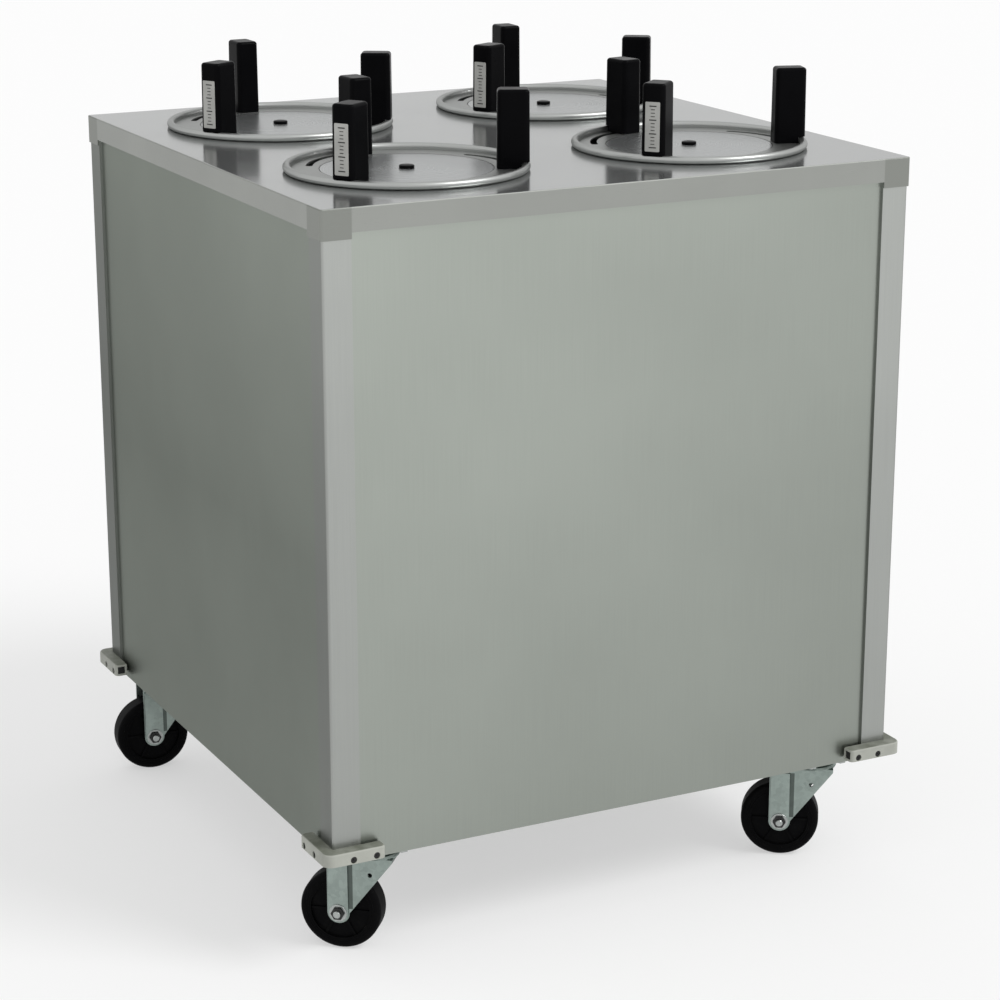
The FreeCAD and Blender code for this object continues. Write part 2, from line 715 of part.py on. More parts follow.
def arc_slot():
    # Slot that the first guide's stud runs in, seen from the tube's axis with that guide along +X.
    half = size.stud_radius + size.slide_gap
    swing = size.guide_circle - size.slot_pivot
    along, across = cosine(size.slot_sweep_angle), sine(size.slot_sweep_angle)
    return [
        (size.slot_pivot + swing + half, 0, swing + half, 1),
        (size.slot_pivot + (swing + half) * along, (swing + half) * across, half, 1),
        (size.slot_pivot + swing * along - half * across, swing * across + half * along, half, 1),
        (size.slot_pivot + (swing - half) * along, (swing - half) * across, swing - half, -1),
        (size.slot_pivot + swing - half, 0, half, 1),
        (size.slot_pivot + swing, -half, half, 1),
    ]


def make_collar(corner):
    # Flat flange on the deck with a rolled bead round it and a slot for each guide.
    body = new_body(f"collar_{corner}")
    bead, outside = size.bead_radius, size.collar_radius
    section = [
        (size.flange_opening, 0),
        (outside - bead, 0, bead, 1),
        (outside, bead, bead, 1),
        (outside - bead, 2 * bead, bead, 1),
        (outside - 2 * bead, bead),
        (outside - 2 * bead, size.flange_sheet),
        (size.flange_opening, size.flange_sheet),
    ]
    revolve(body, outline(body, "XZ_Plane", section))
    slot = pocket_forward(body, outline(body, "XY_Plane", arc_slot()), 2 * size.flange_sheet)
    around(body, slot)
    place_turned(body, *tube_place(corner), size.deck_height, well_turn(corner, GUIDES["back"]))
    node(body, f"collar_{corner}")


def make_tube(corner):
    # Sheet tube under the collar, with a ring for the springs and slots for the carrier's arms.
    body = new_body(f"tube_{corner}")
    inside, outside = size.tube_radius, size.tube_radius + size.tube_sheet
    ring_top = -size.spring_ring_drop
    ring_under = ring_top - size.spring_ring_sheet
    ring = size.spring_ring_radius
    section = [(inside, -size.tube_length), (outside, -size.tube_length), (outside, ring_under),
               (ring, ring_under), (ring, ring_top), (outside, ring_top), (outside, 0), (inside, 0)]
    revolve(body, outline(body, "XZ_Plane", section))
    slot_top = arm_level - size.deck_height + size.tube_slot_lead
    slot_height = slot_top + size.tube_length + size.tube_slot_lead
    slot = rectangle(size.tube_slot_width, slot_height, 0, slot_top - slot_height / 2)
    around(body, pocket_forward(body, outline(body, "YZ_Plane", slot), 2 * outside))
    place_turned(body, *tube_place(corner), size.deck_height, well_turn(corner, ARM_TURN))
    node(body, f"dispenser_tube_{corner}")


def make_carrier(corner):
    # Disc with a turned-down rim on three legs, whose arms reach out through the tube's slots.
    body = new_body(f"carrier_{corner}")
    rim, thick, hole = size.carrier_radius, size.carrier_sheet, size.carrier_hole_radius
    disc = [(hole, -thick), (rim - thick, -thick), (rim - thick, -size.carrier_rim), (rim, -size.carrier_rim),
            (rim, 0), (hole, 0)]
    revolve(body, outline(body, "XZ_Plane", disc))
    leg, outside, arm = size.leg_circle, size.leg_circle + size.leg_sheet, -size.leg_drop
    bracket = [(0, arm - size.arm_sheet), (size.arm_reach, arm - size.arm_sheet), (size.arm_reach, arm),
               (outside, arm), (outside, -thick / 2), (leg, -thick / 2), (leg, arm), (0, arm)]
    around(body, pad_both_ways(body, outline(body, "XZ_Plane", bracket), size.arm_width))
    place_turned(body, *tube_place(corner), carrier_level, well_turn(corner, ARM_TURN))
    node(body, f"plate_carrier_{corner}")


def make_springs(corner):
    x, y = tube_place(corner)
    springs = []
    for index in range(FOLD):
        angle = well_turn(corner, ARM_TURN + index * 360 / FOLD)
        foot = (x + size.spring_circle * cosine(angle), y + size.spring_circle * sine(angle), arm_level)
        springs.append(rod("spring", foot, size.spring_radius, spring_top - arm_level))
    node(group("springs", springs), f"lift_springs_{corner}")


def make_guide(corner, side, angle):
    # Tapered block standing on the flange, notched over the bead and held by a stud through the arc slot.
    body = new_body(f"guide_{corner}_{side}")
    foot = rectangle(size.guide_length, size.guide_width, size.guide_circle)
    block = pad(body, outline(body, "XY_Plane", foot), size.guide_height)
    bind(block, "TaperAngle", -size.guide_taper_angle)
    block = round_edges(body, block, size.guide_corner_radius, upright)
    round_edges(body, block, size.guide_crown_radius, at_level(size.guide_height.value))
    start = size.collar_radius - 2 * size.bead_radius - size.guide_notch_gap
    notch = rectangle(size.guide_length, 2 * size.guide_width, start + size.guide_length / 2)
    overhang = 2 * size.bead_radius - size.flange_sheet - size.slide_gap + size.guide_bead_gap
    pocket_forward(body, outline(body, "XY_Plane", notch), overhang)
    reach = 2 * size.slide_gap + size.flange_sheet
    stud = circles(body, "XY_Plane", [(size.guide_circle, 0, size.stud_radius)])
    pad(body, stud, reach + size.stud_foot_height, flip=True)
    stud_foot = circles(body, "XY_Plane", [(size.guide_circle, 0, size.stud_foot_radius)], lift=-reach)
    pad(body, stud_foot, size.stud_foot_height, flip=True)
    place_turned(body, *tube_place(corner), guide_level, well_turn(corner, angle))
    node(body, f"{corner}_guide_{side}")


# Casters


def make_fork(corner):
    # Bent sheet fork; the swivel axis is its own Z axis and the axle lies at +X.
    body = new_body(f"fork_{corner}")
    axle, end, back = size.caster_trail, size.fork_end_radius, -size.fork_back
    side = [(axle - end, size.wheel_radius, end, 1), (axle, size.wheel_radius - end, end, 1),
            (axle + end, size.wheel_radius), (axle + end, crown_top), (back, crown_top), (back, crown_under)]
    pad_both_ways(body, outline(body, "XZ_Plane", side), fork_width)
    between = rectangle(size.fork_gap, crown_under, 0, crown_under / 2)
    pocket_both_ways(body, outline(body, "YZ_Plane", between), 4 * (axle + end + size.fork_back))
    race = circles(body, "XY_Plane", [(0, 0, size.race_radius)], lift=crown_top)
    pad(body, race, size.fork_race_height)
    bore = circles(body, "XY_Plane", [(0, 0, size.kingpin_radius + size.running_gap)], lift=crown_under)
    pocket_forward(body, bore, size.crown_sheet + size.fork_race_height)
    holes = [(axle, size.wheel_radius, size.axle_radius + size.running_gap),
             (0, crown_under - size.fork_hole_drop, size.fork_hole_radius)]
    pocket_both_ways(body, circles(body, "XZ_Plane", holes), 2 * fork_width)
    place_turned(body, *swivel_place(corner), 0, heading(corner))
    node(body, f"caster_fork_{corner}")


def axle_place(corner):
    x, y = swivel_place(corner)
    angle = heading(corner)
    return x + size.caster_trail * cosine(angle), y + size.caster_trail * sine(angle), size.wheel_radius


def axle_rotation(corner):
    return FreeCAD.Rotation(UP, heading(corner).value).multiply(ALONG["Y"])


def make_wheel(corner):
    body = new_body(f"wheel_{corner}")
    bore, hub, rim = size.axle_radius + size.running_gap, size.hub_radius, size.rim_radius
    tread, edge = size.wheel_radius, size.tread_edge_radius
    hub_end, web, side = size.hub_width / 2, size.web_width / 2, size.wheel_width / 2
    section = [(bore, -hub_end), (hub, -hub_end), (hub, -web), (rim, -web), (rim, -side),
               (tread - edge, -side, edge, 1), (tread, edge - side), (tread, side - edge, edge, 1),
               (tread - edge, side), (rim, side), (rim, web), (hub, web), (hub, hub_end), (bore, hub_end)]
    revolve(body, outline(body, "XZ_Plane", section))
    place(body, *axle_place(corner), axle_rotation(corner))
    node(body, f"caster_wheel_{corner}")


def make_axle(corner):
    half = fork_width / 2
    head = hexagon("head", (0, 0, half), size.axle_head_radius, size.axle_head_height)
    shank = rod("shank", (0, 0, -half), size.axle_radius, fork_width)
    nut = hexagon("nut", (0, 0, -half - size.axle_head_height), size.axle_head_radius, size.axle_head_height)
    axle = fuse("axle", [head, shank, nut])
    place(axle, *axle_place(corner), axle_rotation(corner))
    node(axle, f"caster_axle_{corner}")


def make_caster_plates():
    plates = []
    pin_end = crown_under - size.race_gap
    for corner in CORNERS:
        x, y = swivel_place(corner)
        plate = box("plate", (x - size.caster_plate_x / 2, y - size.caster_plate_y / 2, plate_under),
                    (size.caster_plate_x, size.caster_plate_y, size.caster_plate_sheet))
        race = rod("race", (x, y, race_under), size.race_radius, size.race_height)
        pin = rod("kingpin", (x, y, pin_end), size.kingpin_radius, race_under - pin_end)
        head = rod("kingpin_head", (x, y, pin_end - size.kingpin_head_height), size.kingpin_head_radius,
                   size.kingpin_head_height)
        depth = 2 * size.caster_plate_sheet
        holes = [rod("hole", (*spot, plate_under), bolt_hole, depth) for spot in bolt_places(corner)]
        plates.append(cut("drilled_plate", fuse("caster_plate", [plate, race, pin, head]), holes))
    node(group("plates", plates), "caster_plates")


def make_caster_bolts():
    stack = size.caster_plate_sheet + size.base_sheet + size.doubler_sheet
    bolts = []
    radius, height = size.bolt_head_radius, size.bolt_head_height
    for corner in CORNERS:
        for spot in bolt_places(corner):
            head = hexagon("head", (*spot, plate_under - height), radius, height)
            shank = rod("shank", (*spot, plate_under), size.bolt_radius, stack)
            nut = hexagon("nut", (*spot, plate_under + stack), radius, height)
            bolts.append(fuse("bolt", [head, shank, nut]))
    node(group("bolts", bolts), "caster_bolts")


# Heating and controls


def make_heater():
    # Tubular element in a closed loop, held by two upright brackets on the base.
    level = base_top + size.heater_rise
    half, bend, radius = size.heater_run / 2, size.heater_bend_radius, size.heater_tube_radius
    pieces = [rod("run", (-half, side * bend, level), radius, size.heater_run, "X") for side in (-1, 1)]
    for side, turn in ((-1, 90), (1, -90)):
        ring = doc.addObject("Part::Torus", "bend")
        bind(ring, "Radius1", bend)
        bind(ring, "Radius2", radius)
        ring.Angle3 = 180
        pieces.append(place(ring, side * half, 0, level, FreeCAD.Rotation(UP, turn)))
    thick, lap = size.heater_bracket_sheet, size.heater_bracket_lap
    for side in (-1, 1):
        start = side * size.heater_bracket_spread / 2 - thick / 2
        pieces.append(box("bracket", (start, -bend - lap, base_top),
                          (thick, 2 * (bend + lap), size.heater_rise + lap)))
    node(fuse("heater", pieces), "heater_element")


def on_control(thing, x=0, y=0, rotation=ALONG["Z"]):
    # Local frame of the control panel: +X to its right, -Y out of it, Z from its middle.
    return place(thing, -x, control_back - y, size.control_level, FACING_REAR.multiply(rotation))


def plate_at(name, x, z, y, width, height, depth):
    # Block centred on x and z that starts at y and runs back by depth.
    return box(name, (x - width / 2, y, z - height / 2), (width, depth, height))


def make_control_panel():
    sheet_front = -size.control_sheet
    blank = plate_at("blank", as_size(0), as_size(0), sheet_front, size.control_width, size.control_height,
                     size.control_sheet)
    shaft = rod("shaft_hole", (-size.control_spread, 2 * sheet_front, 0),
                size.knob_shaft_radius + size.shaft_hole_gap, 4 * size.control_sheet, "Y")
    inlet = plate_at("inlet_hole", size.control_spread, as_size(0), 2 * sheet_front,
                     size.inlet_body_width + 2 * size.hole_gap, size.inlet_body_height + 2 * size.hole_gap,
                     4 * size.control_sheet)
    node(on_control(cut("plate", blank, [shaft, inlet])), "control_panel")


def make_thermostat():
    body = plate_at("case", -size.control_spread, as_size(0), as_size(0), size.thermostat_side,
                    size.thermostat_side, size.thermostat_depth)
    bore = rod("bore", (-size.control_spread, 0, 0), size.knob_shaft_radius + size.running_gap,
               size.knob_shaft_reach + size.shaft_end_gap, "Y")
    node(on_control(cut("bored_case", body, [bore])), "thermostat")


def make_knob():
    # Knob with its shaft; local Z points out of the control panel from the plate's face.
    body = new_body("knob")
    tip = -size.control_sheet - size.knob_shaft_reach
    face = size.knob_lift + size.knob_height
    section = [(0, tip), (size.knob_shaft_radius, tip), (size.knob_shaft_radius, size.knob_lift),
               (size.knob_radius, size.knob_lift), (size.knob_radius - size.knob_draft, face), (0, face)]
    revolve(body, outline(body, "XZ_Plane", section))
    bar = rectangle(size.pointer_width, 2 * (size.knob_radius - size.knob_draft))
    bar_sketch = outline(body, "XY_Plane", bar, lift=face - size.pointer_height)
    pad(body, bar_sketch, 2 * size.pointer_height)
    on_control(body, -size.control_spread, -size.control_sheet, ALONG["-Y"])
    node(body, "thermostat_knob")


rocker_x = size.control_spread + size.rocker_offset
inlet_front = -size.control_sheet - size.inlet_flange_sheet
rocker_pivot = inlet_front + size.rocker_reach


def make_power_inlet():
    # Panel inlet: a flange and body in one piece, with a socket beside the switch's recess.
    middle, level = size.control_spread, as_size(0)
    flange = plate_at("flange", middle, level, inlet_front, size.inlet_flange_width, size.inlet_flange_height,
                      size.inlet_flange_sheet)
    back = plate_at("back", middle, level, -size.control_sheet, size.inlet_body_width, size.inlet_body_height,
                    size.inlet_body_depth)
    socket_x = middle - size.socket_offset
    socket = plate_at("socket", socket_x, level, 2 * inlet_front, size.socket_width, size.socket_height,
                      size.socket_depth - inlet_front)
    recess = plate_at("recess", rocker_x, level, 2 * inlet_front, size.rocker_width + 2 * size.slide_gap,
                      2 * (size.rocker_half_height + size.rocker_room),
                      rocker_pivot + size.rocker_well - 2 * inlet_front)
    pin_reach = size.rocker_width / 2 + size.rocker_pin_length + size.slide_gap
    pivot = rod("pivot_hole", (rocker_x - pin_reach, rocker_pivot, 0),
                size.rocker_pin_radius + size.running_gap, 2 * pin_reach, "X")
    housing = cut("housing", fuse("inlet_body", [flange, back]), [socket, recess, pivot])
    floor = size.socket_depth + inlet_front
    blades = []
    for step in (-1, 0, 1):
        blades.append(plate_at("blade", socket_x + step * size.contact_pitch, level,
                               floor - size.contact_length, size.contact_width, size.contact_height,
                               size.contact_length))
    node(on_control(fuse("inlet", [housing] + blades)), "power_inlet")


def make_rocker():
    body = new_body("rocker")
    reach, tall, dip = size.rocker_reach, size.rocker_half_height, size.rocker_dip
    heel = tall - size.rocker_heel
    side = [(-reach, -tall), (size.rocker_back, -heel), (size.rocker_back, heel), (-reach, tall),
            (dip - reach, 0)]
    pad_both_ways(body, outline(body, "YZ_Plane", side), size.rocker_width)
    pin = circles(body, "YZ_Plane", [(0, 0, size.rocker_pin_radius)])
    pad_both_ways(body, pin, size.rocker_width + 2 * size.rocker_pin_length)
    tilt = FreeCAD.Rotation(FreeCAD.Vector(1, 0, 0), size.rocker_tilt_angle.value)
    on_control(body, rocker_x, rocker_pivot, tilt)
    node(body, "switch_rocker")


make_top_pan()
make_base_frame()
for label in PANELS:
    make_panel(label)
make_bumpers()
for corner in CORNERS:
    make_corner_post(corner)
    make_collar(corner)
    make_tube(corner)
    make_carrier(corner)
    make_springs(corner)
    for side, angle in GUIDES.items():
        make_guide(corner, side, angle)
    make_fork(corner)
    make_wheel(corner)
    make_axle(corner)
make_caster_plates()
make_caster_bolts()
make_heater()
make_control_panel()
make_thermostat()
make_knob()
make_power_inlet()
make_rocker()

doc.recompute()
for thing in doc.Objects:
    if "Invalid" in thing.State or "Error" in thing.State:
        raise RuntimeError(f"{thing.Label} did not build: {thing.State}")
for piece in nodes:
    if piece.Shape.isNull() or not piece.Shape.isValid():
        raise RuntimeError(f"{piece.Label} has no valid shape")

os.makedirs("parts", exist_ok=True)
for piece in nodes:
    piece.Shape.exportStep(f"parts/{piece.Label}.step")
    print(piece.Label, len(piece.Shape.Solids), "solids", round(piece.Shape.Volume), "mm3")
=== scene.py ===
import json
import math
import bmesh
import bpy
from mathutils import Matrix, Vector


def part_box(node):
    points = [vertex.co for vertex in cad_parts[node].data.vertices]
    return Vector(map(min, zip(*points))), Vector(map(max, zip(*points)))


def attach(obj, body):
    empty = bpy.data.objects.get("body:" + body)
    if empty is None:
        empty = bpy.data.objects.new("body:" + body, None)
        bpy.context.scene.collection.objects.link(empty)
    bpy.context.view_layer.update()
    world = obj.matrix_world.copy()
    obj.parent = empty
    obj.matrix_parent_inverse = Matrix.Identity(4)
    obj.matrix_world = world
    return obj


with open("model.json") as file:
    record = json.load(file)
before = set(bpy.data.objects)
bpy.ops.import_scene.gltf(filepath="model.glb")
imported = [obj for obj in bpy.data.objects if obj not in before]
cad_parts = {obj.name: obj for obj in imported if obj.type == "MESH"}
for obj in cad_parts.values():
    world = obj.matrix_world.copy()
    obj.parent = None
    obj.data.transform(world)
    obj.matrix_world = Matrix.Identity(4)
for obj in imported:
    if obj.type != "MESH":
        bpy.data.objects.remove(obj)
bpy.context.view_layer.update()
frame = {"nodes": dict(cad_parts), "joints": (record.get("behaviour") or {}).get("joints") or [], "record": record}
nodes = frame["nodes"]
joints = {joint["name"]: joint for joint in frame["joints"]}
corners = {"front_left": (-1, -1), "front_right": (1, -1), "rear_left": (-1, 1), "rear_right": (1, 1)}

# places read from the frame, in metres
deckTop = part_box("top_pan")[1][2]
postInner, postOuter = (edge[0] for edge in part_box("corner_post_rear_right"))
tubePitch = abs(frame["record"]["mounts"][0]["pos_m"][1])  # wells from the middle of the deck, both ways
upright = Vector((0, 0, 1))
print("frame loaded:", len(nodes), "nodes")


# node helpers

def startMaterial(name, metallic=0.0, roughness=0.5, specular=0.5, edgeTint=1.0):
    mat = bpy.data.materials.new(name)
    mat.use_nodes = True
    shader = mat.node_tree.nodes["Principled BSDF"]
    shader.inputs["Metallic"].default_value = metallic
    shader.inputs["Roughness"].default_value = roughness
    shader.inputs["Specular IOR Level"].default_value = specular
    shader.inputs["Specular Tint"].default_value = (edgeTint, edgeTint, edgeTint, 1)
    coords = mat.node_tree.nodes.new("ShaderNodeTexCoord").outputs["Object"]
    return mat, mat.node_tree, shader, coords


def mathNode(tree, operation, first, second=None):
    node = tree.nodes.new("ShaderNodeMath")
    node.operation = operation
    for socket, value in zip(node.inputs, (first, second)):
        if hasattr(value, "links"):
            tree.links.new(value, socket)
        elif value is not None:
            socket.default_value = value
    return node.outputs[0]


def weighted(tree, first, share, second):
    rest = mathNode(tree, "MULTIPLY", second, 1.0 - share)
    return mathNode(tree, "ADD", mathNode(tree, "MULTIPLY", first, share), rest)


def noiseField(tree, coords, scale, detail, stretch=(1, 1, 1)):
    mapping = tree.nodes.new("ShaderNodeMapping")
    mapping.inputs["Scale"].default_value = stretch
    tree.links.new(coords, mapping.inputs["Vector"])
    noise = tree.nodes.new("ShaderNodeTexNoise")
    noise.inputs["Scale"].default_value = scale
    noise.inputs["Detail"].default_value = detail
    tree.links.new(mapping.outputs["Vector"], noise.inputs["Vector"])
    return noise.outputs["Fac"]


def remap(tree, value, span, result=(0.0, 1.0)):
    node = tree.nodes.new("ShaderNodeMapRange")
    tree.links.new(value, node.inputs["Value"])
    for key, number in zip(("From Min", "From Max", "To Min", "To Max"), (*span, *result)):
        node.inputs[key].default_value = number
    return node.outputs["Result"]


def blendColour(tree, factor, first, second):
    node = tree.nodes.new("ShaderNodeMix")
    node.data_type = "RGBA"
    tree.links.new(factor, node.inputs["Factor"])
    for socket, value in zip((node.inputs[6], node.inputs[7]), (first, second)):
        if hasattr(value, "links"):
            tree.links.new(value, socket)
        else:
            socket.default_value = (*value, 1)
    return node.outputs[2]


def addBump(tree, shader, height, strength, distance, under=None):
    node = tree.nodes.new("ShaderNodeBump")
    node.inputs["Strength"].default_value = strength
    node.inputs["Distance"].default_value = distance
    tree.links.new(height, node.inputs["Height"])
    if under is not None:
        tree.links.new(under, node.inputs["Normal"])
    tree.links.new(node.outputs["Normal"], shader.inputs["Normal"])
    return node.outputs["Normal"]


def splitCoords(tree, coords):
    parts = tree.nodes.new("ShaderNodeSeparateXYZ")
    tree.links.new(coords, parts.inputs["Vector"])
    return parts.outputs


def facingParts(tree, normal):
    return splitCoords(tree, tree.nodes.new("ShaderNodeNewGeometry").outputs[normal])


def shades(tree, field, span, colour, factors):
    darker, lighter = (tuple(min(1.0, part * factor) for part in colour) for factor in factors)
    return blendColour(tree, remap(tree, field, span), darker, lighter)


# one field of noise varies the colour, another (or the same) the roughness
def vary(tree, shader, look, spread, toneField, roughField):
    colour = shades(tree, toneField, spread["toneSpan"], look["colour"], spread["tones"])
    limits = [look["roughness"] + change for change in spread["dulling"]]
    rough = remap(tree, roughField, spread["roughSpan"], limits)
    tree.links.new(colour, shader.inputs["Base Color"])
    tree.links.new(rough, shader.inputs["Roughness"])
    return colour, rough


# brushed sheet: fine grain along one axis, soft clouds, a little waviness of thin sheet
upGrain, sideGrain = (900, 900, 9), (9, 900, 900)
steelLook = {
    "panel": {"colour": (0.375, 0.402, 0.366), "roughness": 0.34, "edge": 0.28, "metal": 1.0,
              "grain": upGrain, "wave": 0.10},
    "post": {"colour": (0.422, 0.437, 0.418), "roughness": 0.33, "edge": 0.28, "metal": 1.0,
             "grain": upGrain, "wave": 0.04},
    "deck": {"colour": (0.482, 0.494, 0.490), "roughness": 0.15, "edge": 0.67, "metal": 0.84,
             "grain": sideGrain, "wave": 0.02},
    "hidden": {"colour": (0.36, 0.37, 0.36), "roughness": 0.40, "edge": 0.50, "metal": 1.0,
               "grain": sideGrain, "wave": 0.05},
    "tube": {"colour": (0.58, 0.59, 0.58), "roughness": 0.45, "edge": 0.60, "metal": 0.45,
             "grain": upGrain, "wave": 0.0},
    "plate": {"colour": (0.44, 0.45, 0.44), "roughness": 0.30, "edge": 0.50, "metal": 1.0,
              "grain": sideGrain, "wave": 0.0},
}
# noise fields are (scale, detail)
sheetNoise = {
    "grain": (1.0, 2.0), "clouds": (3.2, 4.0), "smudges": (11.0, 5.0), "wave": (4.5, 1.0),
    "grainShare": 0.35, "toneSpan": (0.36, 0.64), "tones": (0.955, 1.045),
    "streakShare": 0.7, "roughSpan": (0.3, 0.7), "dulling": (-0.04, 0.04),
    "grainBump": 0.04, "grainDepth": 0.0003, "waveDepth": 0.004,
}


def brushedSteel(name, look):
    noise = sheetNoise
    mat, tree, shader, coords = startMaterial(name, look["metal"], look["roughness"], edgeTint=look["edge"])
    grain = noiseField(tree, coords, *noise["grain"], look["grain"])
    clouds = noiseField(tree, coords, *noise["clouds"])
    smudges = noiseField(tree, coords, *noise["smudges"])
    tone = weighted(tree, grain, noise["grainShare"], clouds)
    streaks = weighted(tree, grain, noise["streakShare"], smudges)
    colour, rough = vary(tree, shader, look, noise, tone, streaks)
    lines = addBump(tree, shader, grain, noise["grainBump"], noise["grainDepth"])
    if look["wave"]:
        sheetWave = noiseField(tree, coords, *noise["wave"])
        addBump(tree, shader, sheetWave, look["wave"], noise["waveDepth"], lines)
    return mat, tree, shader, coords, colour, rough


# painted shade and sheen: front and rear faces darker towards the foot, with a painted sheen lighter at the
# front-left and rear-right corners; side faces painted darker towards mid-height
sheetPaintedShade = {
    "heights": (0.14, 0.90), "reach": 0.135, "middle": 0.50, "halfHeight": 0.38,
    "panel": {"paintedFootShade": (0.82, 1.06), "across": (0.92, 1.06), "paintedSideShade": (0.74, 0.93)},
    "post": {"paintedFootShade": (0.82, 1.05), "across": (1.0, 1.0), "paintedSideShade": (0.66, 0.83)},
}


def sheetMaterial(kind):
    mat, tree, shader, coords, colour = brushedSteel(f"{kind}Steel", steelLook[kind])[:5]
    paintedLight, reach = sheetPaintedShade[kind], sheetPaintedShade["reach"]
    parts = splitCoords(tree, coords)
    # painted sheen across front and rear faces, lighter where x and y share a sign
    product = mathNode(tree, "MULTIPLY", parts["X"], parts["Y"])
    across = remap(tree, product, (-reach, reach), paintedLight["across"])
    # painted shade: darker towards the foot
    footShadeLevel = remap(tree, parts["Z"], sheetPaintedShade["heights"], paintedLight["paintedFootShade"])
    frontShadeLevel = mathNode(tree, "MULTIPLY", footShadeLevel, across)
    # painted shade on faces turned sideways, darkest at mid-height
    fromMiddle = mathNode(tree, "ABSOLUTE", mathNode(tree, "SUBTRACT", parts["Z"], sheetPaintedShade["middle"]))
    sideShadeLevel = remap(tree, fromMiddle, (0.0, sheetPaintedShade["halfHeight"]), paintedLight["paintedSideShade"])
    sideways = mathNode(tree, "ABSOLUTE", facingParts(tree, "True Normal")["X"])
    frontPart = mathNode(tree, "MULTIPLY", frontShadeLevel, mathNode(tree, "SUBTRACT", 1.0, sideways))
    level = mathNode(tree, "ADD", mathNode(tree, "MULTIPLY", sideShadeLevel, sideways), frontPart)
    shade = tree.nodes.new("ShaderNodeVectorMath")
    shade.operation = "SCALE"
    tree.links.new(colour, shade.inputs[0])
    tree.links.new(level, shade.inputs["Scale"])
    tree.links.new(shade.outputs["Vector"], shader.inputs["Base Color"])
    return mat


panelSteel = sheetMaterial("panel")
postSteel = sheetMaterial("post")
hiddenSteel = brushedSteel("hiddenSteel", steelLook["hidden"])[0]
tubeSteel = brushedSteel("tubeSteel", steelLook["tube"])[0]
plateSteel = brushedSteel("plateSteel", steelLook["plate"])[0]

# the deck is buffed, its skirt is duller, most of all at the bend, and the skirt's corners are darker;
# top and bend are spans of depth below the deck's face
skirtLook = {
    "colour": (0.335, 0.345, 0.325), "tones": (0.95, 1.05), "clouds": (6.0, 4.0), "toneSpan": (0.3, 0.7),
    "corner": (0.262, 0.272, 0.252), "cornerEdge": 0.0008,
    "roughness": 0.31, "top": (0.00020, 0.00002), "bend": (0.0017, 0.0013), "bendDull": 0.30,
}


def deckMaterial():
    look = skirtLook
    mat, tree, shader, coords, colour, rough = brushedSteel("deckSteel", steelLook["deck"])
    parts = splitCoords(tree, coords)
    edges = (postInner - look["cornerEdge"], postInner + look["cornerEdge"])
    masks = [remap(tree, mathNode(tree, "ABSOLUTE", parts[axis]), edges) for axis in ("X", "Y")]
    corner = mathNode(tree, "MULTIPLY", *masks)
    top = remap(tree, parts["Z"], [deckTop - depth for depth in look["top"]])
    clouds = noiseField(tree, coords, *look["clouds"])
    skirt = shades(tree, clouds, look["toneSpan"], look["colour"], look["tones"])
    skirt = blendColour(tree, corner, skirt, look["corner"])
    tree.links.new(blendColour(tree, top, skirt, colour), shader.inputs["Base Color"])
    belowTop = mathNode(tree, "SUBTRACT", 1.0, top)
    dull = mathNode(tree, "MULTIPLY", belowTop, look["roughness"] - steelLook["deck"]["roughness"])
    bend = remap(tree, parts["Z"], [deckTop - depth for depth in look["bend"]], (0.0, look["bendDull"]))
    skirtRough = mathNode(tree, "ADD", rough, dull)
    skirtRough = mathNode(tree, "ADD", skirtRough, mathNode(tree, "MULTIPLY", belowTop, bend))
    tree.links.new(skirtRough, shader.inputs["Roughness"])
    return mat


deckSteel = deckMaterial()

# wells are spun, so their grain runs round each tube's axis
spunLook = {
    "collar": {"colour": (0.398, 0.408, 0.398), "roughness": 0.36, "edge": 0.62, "metal": 1.0},
    "carrier": {"colour": (0.450, 0.464, 0.464), "roughness": 0.24, "edge": 0.66, "metal": 0.86},
}
spunNoise = {
    "grain": (1.0, 3.0), "stretch": (700, 700, 700), "clouds": (9.0, 4.0), "grainShare": 0.5,
    "toneSpan": (0.35, 0.65), "tones": (0.93, 1.06), "roughSpan": (0.3, 0.7), "dulling": (-0.05, 0.07),
    "grainBump": 0.03, "grainDepth": 0.0003,
}


def spunSteel(kind):
    look, noise = spunLook[kind], spunNoise
    mat, tree, shader, coords = startMaterial(f"{kind}Steel", look["metal"], look["roughness"],
                                              edgeTint=look["edge"])
    parts = splitCoords(tree, coords)
    squares = []
    for axis in ("X", "Y"):
        off = mathNode(tree, "SUBTRACT", mathNode(tree, "ABSOLUTE", parts[axis]), tubePitch)
        squares.append(mathNode(tree, "MULTIPLY", off, off))
    radius = mathNode(tree, "SQRT", mathNode(tree, "ADD", *squares))
    ringCoords = tree.nodes.new("ShaderNodeCombineXYZ")
    tree.links.new(radius, ringCoords.inputs["X"])
    grain = noiseField(tree, ringCoords.outputs["Vector"], *noise["grain"], noise["stretch"])
    clouds = noiseField(tree, coords, *noise["clouds"])
    tone = weighted(tree, grain, noise["grainShare"], clouds)
    vary(tree, shader, look, noise, tone, tone)
    addBump(tree, shader, grain, noise["grainBump"], noise["grainDepth"])
    return mat


collarSteel = spunSteel("collar")
carrierSteel = spunSteel("carrier")

